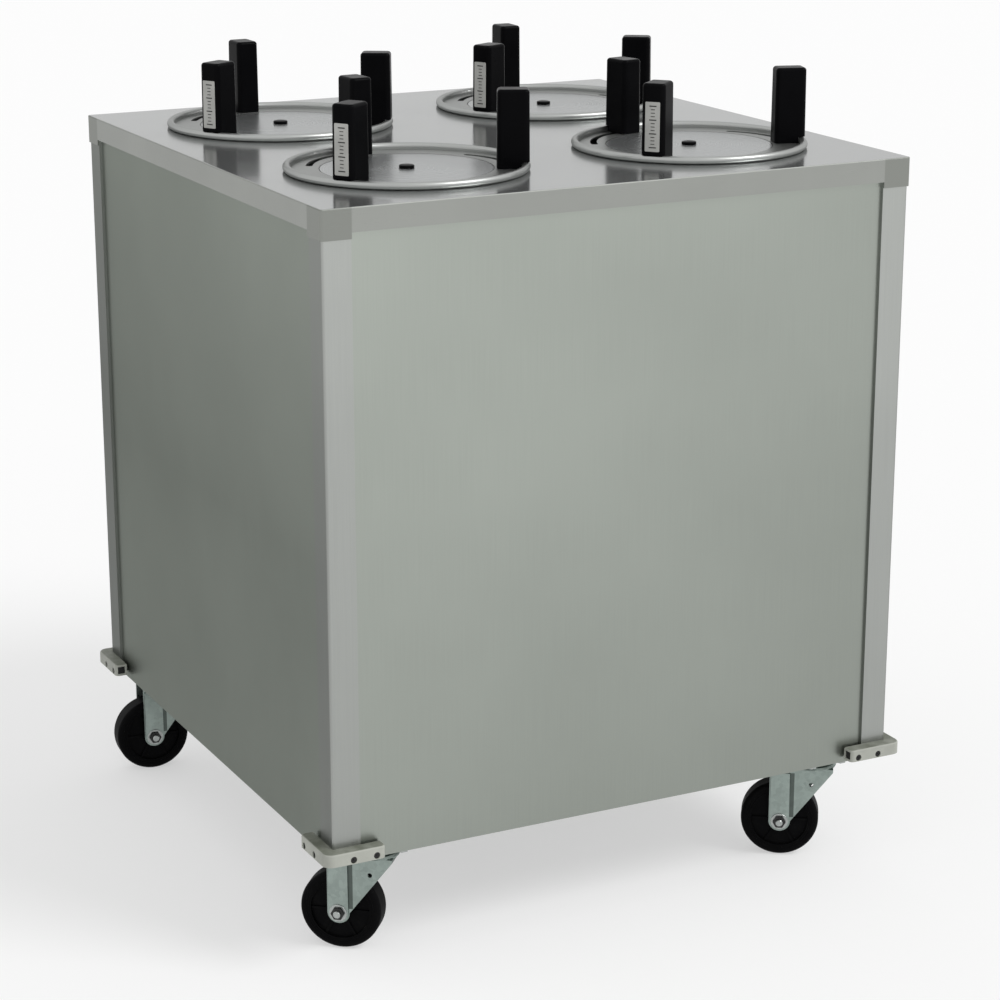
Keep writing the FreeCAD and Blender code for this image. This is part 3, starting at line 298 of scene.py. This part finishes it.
# moulded finishes: a fine texture of the mould over broad uneven patches
plasticLook = {
    "guideBlack": {"colour": (0.0030, 0.0030, 0.0035), "roughness": 0.30, "shine": 0.025,
                   "texture": 900, "bump": 0.05},
    "knobBlack": {"colour": (0.008, 0.008, 0.009), "roughness": 0.32, "shine": 0.20,
                  "texture": 700, "bump": 0.04},
    "housingBlack": {"colour": (0.014, 0.014, 0.014), "roughness": 0.5, "shine": 0.25,
                     "texture": 1200, "bump": 0.10},
    "wheelRubber": {"colour": (0.0028, 0.0028, 0.0031), "roughness": 0.5, "shine": 0.035,
                    "texture": 420, "bump": 0.12},
    "bumperVinyl": {"colour": (0.385, 0.395, 0.355), "roughness": 0.55, "shine": 0.3,
                    "texture": 500, "bump": 0.10},
    "paleCase": {"colour": (0.55, 0.53, 0.46), "roughness": 0.5, "shine": 0.4,
                 "texture": 700, "bump": 0.06},
    "labelWhite": {"colour": (0.43, 0.43, 0.41), "roughness": 0.45, "shine": 0.3,
                   "texture": 300, "bump": 0.02},
    "inkBlack": {"colour": (0.02, 0.02, 0.02), "roughness": 0.6, "shine": 0.2,
                 "texture": 900, "bump": 0.02},
    "markWhite": {"colour": (0.65, 0.65, 0.63), "roughness": 0.5, "shine": 0.3,
                  "texture": 900, "bump": 0.02},
}
plasticNoise = {
    "textureDetail": 2.0, "patches": (28.0, 4.0), "textureDepth": 0.0004,
    "toneSpan": (0.32, 0.68), "tones": (0.86, 1.10), "roughSpan": (0.3, 0.7), "dulling": (-0.05, 0.06),
}


def mouldedPlastic(name):
    look, noise = plasticLook[name], plasticNoise
    mat, tree, shader, coords = startMaterial(name, 0.0, look["roughness"], look["shine"])
    texture = noiseField(tree, coords, look["texture"], noise["textureDetail"])
    patches = noiseField(tree, coords, *noise["patches"])
    colour = vary(tree, shader, look, noise, patches, patches)[0]
    addBump(tree, shader, texture, look["bump"], noise["textureDepth"])
    return mat, tree, shader, coords, colour


guideBlack = mouldedPlastic("guideBlack")[0]
knobBlack = mouldedPlastic("knobBlack")[0]
housingBlack = mouldedPlastic("housingBlack")[0]
paleCase = mouldedPlastic("paleCase")[0]
labelWhite = mouldedPlastic("labelWhite")[0]
inkBlack = mouldedPlastic("inkBlack")[0]
markWhite = mouldedPlastic("markWhite")[0]

# patches of dust on the wheels, and painted shade darkening the bumpers' flat tops in patches
wheelDust = {"colour": (0.009, 0.009, 0.0085), "patches": (65.0, 6.0), "span": (0.52, 0.80), "most": 0.35}
bumperTopShade = {"colour": (0.125, 0.135, 0.105), "patches": (45.0, 5.0), "span": (0.3, 0.6),
               "amount": (0.55, 1.0), "facing": (0.70, 0.97), "most": 0.95}


def wheelMaterial():
    dust = wheelDust
    mat, tree, shader, coords, colour = mouldedPlastic("wheelRubber")
    amount = remap(tree, noiseField(tree, coords, *dust["patches"]), dust["span"], (0.0, dust["most"]))
    tree.links.new(blendColour(tree, amount, colour, dust["colour"]), shader.inputs["Base Color"])
    return mat


def bumperMaterial():
    paintedShade = bumperTopShade
    mat, tree, shader, coords, colour = mouldedPlastic("bumperVinyl")
    # painted shade: faces turned upwards are darkened, in patches
    top = remap(tree, facingParts(tree, "Normal")["Z"], paintedShade["facing"], (0.0, paintedShade["most"]))
    patches = remap(tree, noiseField(tree, coords, *paintedShade["patches"]), paintedShade["span"], paintedShade["amount"])
    amount = mathNode(tree, "MULTIPLY", top, patches)
    tree.links.new(blendColour(tree, amount, colour, paintedShade["colour"]), shader.inputs["Base Color"])
    return mat


wheelRubber = wheelMaterial()
bumperVinyl = bumperMaterial()

# plated and bare metal: small crystals under broader stains
metalLook = {
    "zincPlate": {"colour": (0.285, 0.335, 0.312), "roughness": 0.36, "edge": 0.6, "cells": 210},
    # painted shadow: a dark zinc for the strips beside the fork legs
    "paintedShadowZinc": {"colour": (0.105, 0.125, 0.115), "roughness": 0.48, "edge": 0.5, "cells": 210},
    "boltZinc": {"colour": (0.40, 0.42, 0.41), "roughness": 0.30, "edge": 0.6, "cells": 600},
    "darkSteel": {"colour": (0.05, 0.05, 0.05), "roughness": 0.45, "edge": 0.5, "cells": 500},
    "springSteel": {"colour": (0.34, 0.34, 0.34), "roughness": 0.35, "edge": 0.6, "cells": 700},
}
metalNoise = {
    "stains": (38.0, 5.0), "cellShare": 0.35, "toneSpan": (0.25, 0.75), "tones": (0.86, 1.12),
    "roughSpan": (0.2, 0.8), "dulling": (-0.07, 0.08), "stainBump": 0.04, "stainDepth": 0.0005,
}


def platedMetal(name):
    look, noise = metalLook[name], metalNoise
    mat, tree, shader, coords = startMaterial(name, 1.0, look["roughness"], edgeTint=look["edge"])
    cells = tree.nodes.new("ShaderNodeTexVoronoi")
    cells.inputs["Scale"].default_value = look["cells"]
    tree.links.new(coords, cells.inputs["Vector"])
    tint = tree.nodes.new("ShaderNodeSeparateColor")
    tree.links.new(cells.outputs["Color"], tint.inputs["Color"])
    stains = noiseField(tree, coords, *noise["stains"])
    mixed = weighted(tree, tint.outputs[0], noise["cellShare"], stains)
    vary(tree, shader, look, noise, mixed, mixed)
    addBump(tree, shader, stains, noise["stainBump"], noise["stainDepth"])
    return mat


zincPlate = platedMetal("zincPlate")
paintedShadowZinc = platedMetal("paintedShadowZinc")
boltZinc = platedMetal("boltZinc")
darkSteel = platedMetal("darkSteel")
springSteel = platedMetal("springSteel")
print("materials made:", len(bpy.data.materials))


# CAD nodes keep their shapes and take these finishes; a key is a node's name or its first words
nodeFinish = {
    "top_pan": deckSteel, "base_frame": hiddenSteel, "corner_post": postSteel,
    "front_panel": panelSteel, "rear_panel": panelSteel, "left_panel": panelSteel, "right_panel": panelSteel,
    "corner_bumpers": bumperVinyl, "bumper_screws": darkSteel,
    "collar": collarSteel, "dispenser_tube": tubeSteel, "plate_carrier": carrierSteel,
    "lift_springs": springSteel, "heater_element": darkSteel,
    "caster_fork": zincPlate, "caster_axle": darkSteel, "caster_wheel": wheelRubber,
    "caster_plates": zincPlate, "caster_bolts": boltZinc,
    "control_panel": plateSteel, "thermostat_knob": knobBlack, "thermostat": paleCase,
    "power_inlet": housingBlack, "switch_rocker": knobBlack,
}


def finishFor(name):
    if "_guide_" in name:
        return guideBlack
    longest = max((key for key in nodeFinish if name.startswith(key)), key=len)
    return nodeFinish[longest]


for name, obj in nodes.items():
    obj.data.materials.clear()
    obj.data.materials.append(finishFor(name))


# mesh helpers

def boxInto(bm, size, matrix=Matrix(), bevel=0.0):
    made = bmesh.ops.create_cube(bm, size=1.0, matrix=matrix @ Matrix.Diagonal((*size, 1)))
    if bevel:
        edges = {edge for vert in made["verts"] for edge in vert.link_edges}
        bmesh.ops.bevel(bm, geom=list(edges), offset=bevel, segments=2, affect="EDGES", profile=0.6)


# profile of (radius, height) pairs spun about Z: a closed ring, or else a solid with flat ends
def turnInto(bm, profile, matrix=Matrix(), steps=48, closed=True):
    loops = []
    for radius, height in profile:
        ring = []
        for step in range(steps):
            angle = 2 * math.pi * step / steps
            point = Vector((radius * math.cos(angle), radius * math.sin(angle), height))
            ring.append(bm.verts.new(matrix @ point))
        loops.append(ring)
    following = loops[1:] + loops[:1] if closed else loops[1:]
    for lower, upper in zip(loops, following):
        for step in range(steps):
            after = (step + 1) % steps
            bm.faces.new((lower[step], lower[after], upper[after], upper[step]))
    if not closed:
        bm.faces.new(list(reversed(loops[0])))
        bm.faces.new(loops[-1])


# outline in local XY, lifted from low to high
def slabInto(bm, outline, low, high, matrix=Matrix(), bevel=0.0):
    lower = [bm.verts.new(matrix @ Vector((x, y, low))) for x, y in outline]
    upper = [bm.verts.new(matrix @ Vector((x, y, high))) for x, y in outline]
    count = len(outline)
    bm.faces.new(list(reversed(lower)))
    top = bm.faces.new(upper)
    for step in range(count):
        after = (step + 1) % count
        bm.faces.new((lower[step], lower[after], upper[after], upper[step]))
    if bevel:
        bmesh.ops.bevel(bm, geom=list(top.edges), offset=bevel, segments=2, affect="EDGES", profile=0.6)


def crossInto(bm, length, width, thick, place):
    boxInto(bm, (length, width, thick), place)
    boxInto(bm, (width, length, thick), place)


def arcPoints(centre, radius, start, stop, steps):
    angles = [math.radians(start + (stop - start) * step / steps) for step in range(steps + 1)]
    return [(centre[0] + radius * math.cos(angle), centre[1] + radius * math.sin(angle)) for angle in angles]


def basis(origin, xAxis, yAxis, zAxis):
    return Matrix.Translation(origin) @ Matrix((xAxis, yAxis, zAxis)).transposed().to_4x4()


def linkObject(name, data):
    obj = bpy.data.objects.new(name, data)
    bpy.context.scene.collection.objects.link(obj)
    return obj


def addPiece(name, mesh, material, body):
    piece = linkObject(name, mesh)
    mesh.materials.clear()
    mesh.materials.append(material)
    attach(piece, body)


smoothBelow = math.radians(35)


def makePiece(name, bm, material, body):
    bmesh.ops.recalc_face_normals(bm, faces=bm.faces)
    mesh = bpy.data.meshes.new(name)
    bm.to_mesh(mesh)
    bm.free()
    mesh.polygons.foreach_set("use_smooth", [True] * len(mesh.polygons))
    mesh.set_sharp_from_angle(angle=smoothBelow)
    addPiece(name, mesh, material, body)


# label strips on one guide of each well, blank apart from a plain tick scale
guideShape = {"circle": 0.127, "length": 0.0395, "taper": math.radians(0.3), "footAboveDeck": 0.0023}
labelStrip = {
    "width": 0.0185, "height": 0.060, "foot": 0.012, "thick": 0.0006, "sink": 0.0001,
    "cornerRadius": 0.0012, "cornerSteps": 4, "bevel": 0.0002,
    "ticks": 13, "longEvery": 4, "tickMargin": 0.005, "tickShift": 0.0005, "tickLift": 0.0001,
    "longTick": (0.009, 0.0012, 0.0003), "shortTick": (0.005, 0.0008, 0.0003),
}


# middle of the strip, on the guide's outer face, which leans in with the taper
def labelPlace(body, wellX, wellY):
    strip, shape = labelStrip, guideShape
    pivot = joints[f"{body}_swing"]["pos_m"]
    out = Vector((pivot[0] - wellX, pivot[1] - wellY, 0)).normalized()
    across = Vector((-out.y, out.x, 0))
    lean = math.tan(shape["taper"])
    up = (upright - out * lean).normalized()
    middle = strip["foot"] + strip["height"] / 2
    spot = Vector((wellX, wellY, deckTop + shape["footAboveDeck"] + middle))
    spot += out * (shape["circle"] + shape["length"] / 2 - middle * lean)
    return basis(spot, across, up, across.cross(up))


def makeLabel(corner, sideX, sideY):
    strip = labelStrip
    body = f"{corner}_guide_left"
    place = labelPlace(body, sideX * tubePitch, sideY * tubePitch)
    halfWidth, halfHeight = strip["width"] / 2, strip["height"] / 2
    radius = strip["cornerRadius"]
    outline = []
    for signX, signY, start in ((1, -1, -90), (1, 1, 0), (-1, 1, 90), (-1, -1, 180)):
        centre = (signX * (halfWidth - radius), signY * (halfHeight - radius))
        outline += arcPoints(centre, radius, start, start + 90, strip["cornerSteps"])
    bm = bmesh.new()
    slabInto(bm, outline, -strip["sink"], strip["thick"], place, strip["bevel"])
    makePiece(f"labelStrip_{corner}", bm, labelWhite, body)
    bm = bmesh.new()
    gap = (strip["height"] - 2 * strip["tickMargin"]) / (strip["ticks"] - 1)
    for step in range(strip["ticks"]):
        size = strip["shortTick"] if step % strip["longEvery"] else strip["longTick"]
        row = strip["tickMargin"] - halfHeight + gap * step
        spot = (strip["tickShift"], row, strip["thick"] + strip["tickLift"])
        boxInto(bm, size, place @ Matrix.Translation(spot))
    makePiece(f"labelTicks_{corner}", bm, inkBlack, body)


for corner, (sideX, sideY) in corners.items():
    makeLabel(corner, sideX, sideY)
print("label strips made")


# fork trim: raised legs with a strip of painted shadow beside them, where the plate lies in the legs' shade,
# washers and thread ends, and the swivel's dust ring; faces are measured from the fork's cheek, the ring from the
# floor
forkTrim = {
    "cheek": 0.0225, "sink": 0.0002,
    "legHalf": 0.0128, "legTop": 0.1185, "legProud": 0.0020, "legBevel": 0.0007, "legSteps": 16,
    "shadowWidth": 0.0055, "shadowLap": 0.0004, "shadowFoot": 0.006, "shadowProud": 0.00015,
    "washerHole": 0.0055, "washer": 0.0112, "washerThick": 0.0011, "washerEdge": 0.0003,
    "threadRadius": 0.0046, "threadTip": 0.0038, "threadSpan": (0.0055, 0.0087, 0.0095), "threadSteps": 32,
    "dustRing": ((0.0271, 0.1252), (0.0312, 0.1252), (0.0315, 0.1268), (0.0300, 0.1296), (0.0271, 0.1306)),
    "dustRingSteps": 64,
}


def makeForkTrim(corner, hub, axle, along):
    trim = forkTrim
    half, top, proud = trim["legHalf"], trim["legTop"] - hub.z, trim["legProud"]
    legs, paintedShade, hardware = bmesh.new(), bmesh.new(), bmesh.new()
    for side in (-1, 1):
        out = axle * side
        place = basis(hub + out * trim["cheek"], along * -side, upright, out)
        outline = arcPoints((0, 0), half, 180, 360, trim["legSteps"]) + [(half, top), (-half, top)]
        slabInto(legs, outline, -trim["sink"], proud, place, trim["legBevel"])
        # a dark strip beside each leg: painted shadow of the raised leg on the plate
        low, high = sorted((side * (half - trim["shadowLap"]), side * (half + trim["shadowWidth"])))
        foot = trim["shadowFoot"]
        slabInto(paintedShade, [(low, foot), (high, foot), (high, top), (low, top)], -trim["sink"],
                 trim["shadowProud"], place)
        hole, outer, edge = trim["washerHole"], trim["washer"], trim["washerEdge"]
        face = proud + trim["washerThick"]
        turnInto(hardware, [(hole, proud - edge), (outer, proud - edge), (outer, face - edge),
                            (outer - edge, face), (hole, face)], place)
        radii = (trim["threadRadius"], trim["threadRadius"], trim["threadTip"])
        turnInto(hardware, zip(radii, trim["threadSpan"]), place, trim["threadSteps"], False)
    swivel = Vector((*joints[f"caster_{corner}_swivel"]["pos_m"][:2], 0))
    turnInto(legs, trim["dustRing"], Matrix.Translation(swivel), trim["dustRingSteps"])
    body = f"caster_{corner}"
    makePiece(f"forkLegs_{corner}", legs, zincPlate, body)
    makePiece(f"forkPaintedShadow_{corner}", paintedShade, paintedShadowZinc, body)
    makePiece(f"axleWashers_{corner}", hardware, boltZinc, body)


# wheel trim: ribs of the web, and raised rings on the tyre's side and at the hub
wheelTrim = {
    "ribs": 6, "rib": (0.0225, 0.0032, 0.003), "ribAt": (0.0257, 0, 0.0130), "ribBevel": 0.0006,
    "tyreRings": ((0.0425, 0.0009), (0.0395, 0.0006)), "tyreRingSpan": (0.0158, 0.0164), "tyreRingSteps": 64,
    "hubRing": ((0.0085, 0.0187), (0.0125, 0.0187), (0.0120, 0.0193), (0.0090, 0.0193)), "hubRingSteps": 48,
}


def makeWheelTrim(corner, hub, axle, along):
    trim = wheelTrim
    foot, crown = trim["tyreRingSpan"]
    web, rings = bmesh.new(), bmesh.new()
    for side in (-1, 1):
        place = basis(hub, along * -side, upright, axle * side)
        for rib in range(trim["ribs"]):
            turn = Matrix.Rotation(2 * math.pi * rib / trim["ribs"], 4, "Z")
            boxInto(web, trim["rib"], place @ turn @ Matrix.Translation(trim["ribAt"]), trim["ribBevel"])
        for radius, half in trim["tyreRings"]:
            turnInto(rings, [(radius - half, foot), (radius + half, foot), (radius + half / 2, crown),
                             (radius - half / 2, crown)], place, trim["tyreRingSteps"])
        turnInto(rings, trim["hubRing"], place, trim["hubRingSteps"])
    body = f"wheel_{corner}"
    makePiece(f"wheelWeb_{corner}", web, wheelRubber, body)
    makePiece(f"wheelRings_{corner}", rings, wheelRubber, body)


for corner in corners:
    spin = joints[f"wheel_{corner}_spin"]
    hub, axle = Vector(spin["pos_m"]), Vector(spin["axis"])
    along = Vector((axle.y, -axle.x, 0))
    makeForkTrim(corner, hub, axle, along)
    makeWheelTrim(corner, hub, axle, along)
print("caster trim made")


# cross recesses in the bumper screws, painted black as their shade
bumperScrew = {"fromCorner": (0.020, 0.050), "cross": 0.0048, "blade": 0.0011, "thick": 0.0004, "turn": 0.6}


def makeScrewCrosses():
    screw = bumperScrew
    low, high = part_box("bumper_screws")
    face, level = high[0], (low[2] + high[2]) / 2
    turn = Matrix.Rotation(screw["turn"], 4, "Z")
    bm = bmesh.new()
    for sideX, sideY in corners.values():
        for fromCorner in screw["fromCorner"]:
            beside = postOuter - fromCorner
            spots = ((beside, face, (1, 0, 0), (0, 1, 0)), (face, beside, (0, 1, 0), (1, 0, 0)))
            for x, y, flat, out in spots:
                place = basis(Vector((sideX * x, sideY * y, level)), flat, upright, out) @ turn
                crossInto(bm, screw["cross"], screw["blade"], screw["thick"], place)
    makePiece("bumperScrewCrossShade", bm, inkBlack, "cabinet")


makeScrewCrosses()

# painted shade: dark blocks just inside the bumpers' open ends, standing in for the shade in the hollow
bumperEndShade = {"leg": 0.062, "wall": 0.00315, "sink": 0.0007, "depth": 0.0045, "bevel": 0.0008}


def makeEndPlugs():
    shadeBlock = bumperEndShade
    low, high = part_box("corner_bumpers")
    thick = high[0] - postOuter - 2 * shadeBlock["wall"]
    tall = high[2] - low[2] - 2 * shadeBlock["wall"]
    along = postOuter - shadeBlock["leg"] + shadeBlock["sink"] + shadeBlock["depth"] / 2
    beside = (postOuter + high[0]) / 2
    level = (low[2] + high[2]) / 2
    bm = bmesh.new()
    for sideX, sideY in corners.values():
        for x, y, size in ((along, beside, (shadeBlock["depth"], thick, tall)),
                           (beside, along, (thick, shadeBlock["depth"], tall))):
            boxInto(bm, size, Matrix.Translation((sideX * x, sideY * y, level)), shadeBlock["bevel"])
    makePiece("bumperEndShadeBlocks", bm, housingBlack, "cabinet")


makeEndPlugs()

# low caps in the discs' middle holes, as (radius, height above the disc)
discCap = ((0.0074, -0.0035), (0.0074, -0.0003), (0.0092, 0.0), (0.0093, 0.0026), (0.0088, 0.0035),
           (0.0066, 0.0041), (0.0010, 0.0043))


def makeDiscCap(corner, sideX, sideY):
    bm = bmesh.new()
    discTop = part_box(f"plate_carrier_{corner}")[1][2]
    turnInto(bm, discCap, Matrix.Translation((sideX * tubePitch, sideY * tubePitch, discTop)), closed=False)
    makePiece(f"discCap_{corner}", bm, guideBlack, f"carrier_{corner}")


for corner, (sideX, sideY) in corners.items():
    makeDiscCap(corner, sideX, sideY)
print("plugs and caps made")

# rear side, seen from behind: X to the right, Y up, Z out of the face
rearNodes = ("rear_panel", "control_panel", "power_inlet", "thermostat_knob")
rearFace = {name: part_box(name)[1][1] for name in rearNodes}
dialX, controlLevel = joints["thermostat_turn"]["pos_m"][0], joints["thermostat_turn"]["pos_m"][2]


def rearPlace(x, y, z):
    return basis(Vector((x, y, z)), Vector((-1, 0, 0)), upright, Vector((0, 1, 0)))


# round screw heads, in shares of the head's radius, with a cross cut painted black as its shade
roundHead = {
    "profile": ((1.0, 0.22), (0.86, 0.42), (0.5, 0.55), (0.12, 0.58)), "sink": 0.0002, "steps": 28,
    "cross": 1.15, "blade": 0.24, "crossAt": 0.57, "crossThick": 0.0003, "turn": 0.5,
}
rearScrews = {
    "edge": 0.343, "rows": (0.20, 0.34, 0.49, 0.64, 0.79, 0.87), "panelHead": 0.0042,
    "plateMargin": 0.007, "plateHead": 0.0032, "inletOut": 0.0318, "inletHead": 0.0019,
}


def roundHeadInto(bm, crossShades, place, radius):
    head = roundHead
    profile = [(radius, -head["sink"])] + [(radius * across, radius * up) for across, up in head["profile"]]
    turnInto(bm, profile, place, head["steps"], False)
    lift = Matrix.Translation((0, 0, radius * head["crossAt"]))
    crown = place @ lift @ Matrix.Rotation(head["turn"], 4, "Z")
    crossInto(crossShades, radius * head["cross"], radius * head["blade"], head["crossThick"], crown)


def makeRearScrews():
    screws = rearScrews
    plateLow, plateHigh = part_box("control_panel")
    inletLow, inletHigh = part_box("power_inlet")
    plateHalf = [(plateHigh[axis] - plateLow[axis]) / 2 - screws["plateMargin"] for axis in (0, 2)]
    inletMiddle = (inletLow[0] + inletHigh[0]) / 2
    heads, crossShades = bmesh.new(), bmesh.new()
    for side in (-1, 1):
        for row in screws["rows"]:
            place = rearPlace(side * screws["edge"], rearFace["rear_panel"], row)
            roundHeadInto(heads, crossShades, place, screws["panelHead"])
        for lift in (-1, 1):
            level = controlLevel + lift * plateHalf[1]
            place = rearPlace(side * plateHalf[0], rearFace["control_panel"], level)
            roundHeadInto(heads, crossShades, place, screws["plateHead"])
        place = rearPlace(inletMiddle + side * screws["inletOut"], rearFace["power_inlet"], controlLevel)
        roundHeadInto(heads, crossShades, place, screws["inletHead"])
    makePiece("rearScrews", heads, boltZinc, "cabinet")
    makePiece("rearScrewCrossShade", crossShades, inkBlack, "cabinet")


makeRearScrews()

# dial scale round the knob: ticks, and plain numbers at the long ones
dialScale = {
    "start": -135, "stop": 135, "ticks": 19, "longEvery": 3, "near": 0.0225, "lift": 0.0001, "thick": 0.0002,
    "longTick": {"far": 0.0265, "width": 0.0009}, "shortTick": {"far": 0.0249, "width": 0.0006},
    "digits": 7, "digitAt": 0.0325, "digitSize": 0.0068, "digitThick": 0.00012,
}


def dialAngle(share):
    return math.radians(90 - dialScale["start"] - (dialScale["stop"] - dialScale["start"]) * share)


def digitMesh(digit):
    text = bpy.data.curves.new(f"digit{digit}", "FONT")
    text.body = str(digit)
    text.size = dialScale["digitSize"]
    text.extrude = dialScale["digitThick"]
    text.align_x = "CENTER"
    text.align_y = "CENTER"
    holder = linkObject(f"digit{digit}", text)
    bpy.context.view_layer.update()
    mesh = bpy.data.meshes.new_from_object(holder.evaluated_get(bpy.context.evaluated_depsgraph_get()))
    bpy.data.objects.remove(holder)
    return mesh


def makeDialScale():
    scale = dialScale
    dial = rearPlace(dialX, rearFace["control_panel"], controlLevel)
    bm = bmesh.new()
    for step in range(scale["ticks"]):
        tick = scale["shortTick"] if step % scale["longEvery"] else scale["longTick"]
        turn = Matrix.Rotation(dialAngle(step / (scale["ticks"] - 1)), 4, "Z")
        shift = Matrix.Translation(((scale["near"] + tick["far"]) / 2, 0, scale["lift"]))
        boxInto(bm, (tick["far"] - scale["near"], tick["width"], scale["thick"]), dial @ turn @ shift)
    makePiece("dialTicks", bm, inkBlack, "cabinet")
    for digit in range(scale["digits"]):
        angle = dialAngle(digit / (scale["digits"] - 1))
        mesh = digitMesh(digit)
        spot = (scale["digitAt"] * math.cos(angle), scale["digitAt"] * math.sin(angle), scale["lift"])
        mesh.transform(dial @ Matrix.Translation(spot))
        addPiece(f"dialDigit{digit}", mesh, inkBlack, "cabinet")


makeDialScale()

# pointer line on the knob
knobPointer = {"size": (0.0012, 0.010, 0.0003), "fromAxis": 0.0103}


def makeKnobPointer():
    bm = bmesh.new()
    place = rearPlace(dialX, rearFace["thermostat_knob"], controlLevel)
    boxInto(bm, knobPointer["size"], place @ Matrix.Translation((0, knobPointer["fromAxis"], 0)))
    makePiece("knobPointer", bm, markWhite, "thermostat_knob")


makeKnobPointer()

# plain on and off marks on the rocker's two sloping faces, a bar above and a ring below
rockerMarks = {
    "tilt": math.radians(7), "slope": math.atan2(0.0014, 0.0102), "valley": 0.0046, "fromPivot": 0.0062,
    "bar": (0.0007, 0.0046, 0.0004), "ring": (0.0017, 0.0023), "ringHalf": 0.0002, "ringSteps": 24,
}


def makeRockerMarks():
    marks = rockerMarks
    away, slope = marks["fromPivot"], marks["slope"]
    rocker = rearPlace(*joints["switch_rock"]["pos_m"]) @ Matrix.Rotation(marks["tilt"], 4, "X")
    level = marks["valley"] + away * math.tan(slope)
    below = rocker @ Matrix.Translation((0, -away, level)) @ Matrix.Rotation(slope, 4, "X")
    above = rocker @ Matrix.Translation((0, away, level)) @ Matrix.Rotation(-slope, 4, "X")
    (inner, outer), half = marks["ring"], marks["ringHalf"]
    bm = bmesh.new()
    turnInto(bm, [(inner, -half), (outer, -half), (outer, half), (inner, half)], below, marks["ringSteps"])
    boxInto(bm, marks["bar"], above)
    makePiece("rockerMarks", bm, markWhite, "switch_rocker")


makeRockerMarks()
print("rear trim made")


# floor, light and camera
stageLook = {
    "floor": (0.88, 0.88, 0.88), "floorHalf": 30.0, "floorDrop": 0.0004, "floorRoughness": 0.9,
    "floorShine": 0.1, "whiteShare": 0.50, "ambient": 0.76,
}


def seenDirectly(tree):
    rays = tree.nodes.new("ShaderNodeLightPath").outputs
    mirrored = mathNode(tree, "MAXIMUM", rays["Is Glossy Ray"], rays["Is Transmission Ray"])
    return mathNode(tree, "MAXIMUM", rays["Is Camera Ray"], mirrored)


def makeFloor():
    look = stageLook
    bm = bmesh.new()
    bmesh.ops.create_grid(bm, x_segments=1, y_segments=1, size=look["floorHalf"])
    mesh = bpy.data.meshes.new("floor")
    bm.to_mesh(mesh)
    bm.free()
    floor = linkObject("floor", mesh)
    floor.location.z = -look["floorDrop"]
    mat, tree, shader = startMaterial("floorPaper", 0.0, look["floorRoughness"], look["floorShine"])[:3]
    shader.inputs["Base Color"].default_value = (*look["floor"], 1)
    glow = tree.nodes.new("ShaderNodeEmission")
    mixer = tree.nodes.new("ShaderNodeMixShader")
    share = mathNode(tree, "MULTIPLY", seenDirectly(tree), look["whiteShare"])
    tree.links.new(share, mixer.inputs["Fac"])
    tree.links.new(shader.outputs["BSDF"], mixer.inputs[1])
    tree.links.new(glow.outputs["Emission"], mixer.inputs[2])
    tree.links.new(mixer.outputs["Shader"], tree.nodes["Material Output"].inputs["Surface"])
    mesh.materials.append(mat)


def makeWorld():
    world = bpy.data.worlds.new("studio")
    world.use_nodes = True
    bpy.context.scene.world = world
    tree = world.node_tree
    sky = tree.nodes["Background"]
    sky.inputs["Color"].default_value = (1, 1, 1, 1)
    strength = remap(tree, seenDirectly(tree), (0.0, 1.0), (stageLook["ambient"], 1.0))
    tree.links.new(strength, sky.inputs["Strength"])


keyLight = {"from": (0.55, -0.60, 0.80), "distance": 4, "strength": 1.45, "softness": 24}


def makeKeyLight():
    light = bpy.data.lights.new("keyLight", "SUN")
    light.energy = keyLight["strength"]
    light.angle = math.radians(keyLight["softness"])
    holder = linkObject("keyLight", light)
    towards = Vector(keyLight["from"])
    holder.location = towards * keyLight["distance"]
    holder.rotation_euler = (-towards).to_track_quat("-Z", "Y").to_euler()


# angles in degrees; the focal length is in pixels of a picture 1000 pixels wide
view = {
    "spot": (-1.5716, -3.1452, 1.4778), "azimuth": -26.97, "drop": 16.48,
    "focalPixels": 2744.6, "pictureWidth": 1000, "sensor": 36.0, "clipEnd": 100,
}


def makeCamera():
    data = bpy.data.cameras.new("camera")
    data.sensor_width = view["sensor"]
    data.lens = view["sensor"] * view["focalPixels"] / view["pictureWidth"]
    data.clip_end = view["clipEnd"]
    camera = linkObject("camera", data)
    turn, drop = math.radians(view["azimuth"]), math.radians(view["drop"])
    look = Vector((-math.sin(turn) * math.cos(drop), math.cos(turn) * math.cos(drop), -math.sin(drop)))
    camera.location = view["spot"]
    camera.rotation_euler = look.to_track_quat("-Z", "Y").to_euler()
    bpy.context.scene.camera = camera


makeFloor()
makeWorld()
makeKeyLight()
makeCamera()
bpy.context.scene.view_settings.view_transform = "Standard"
print("stage, lamps and camera set")
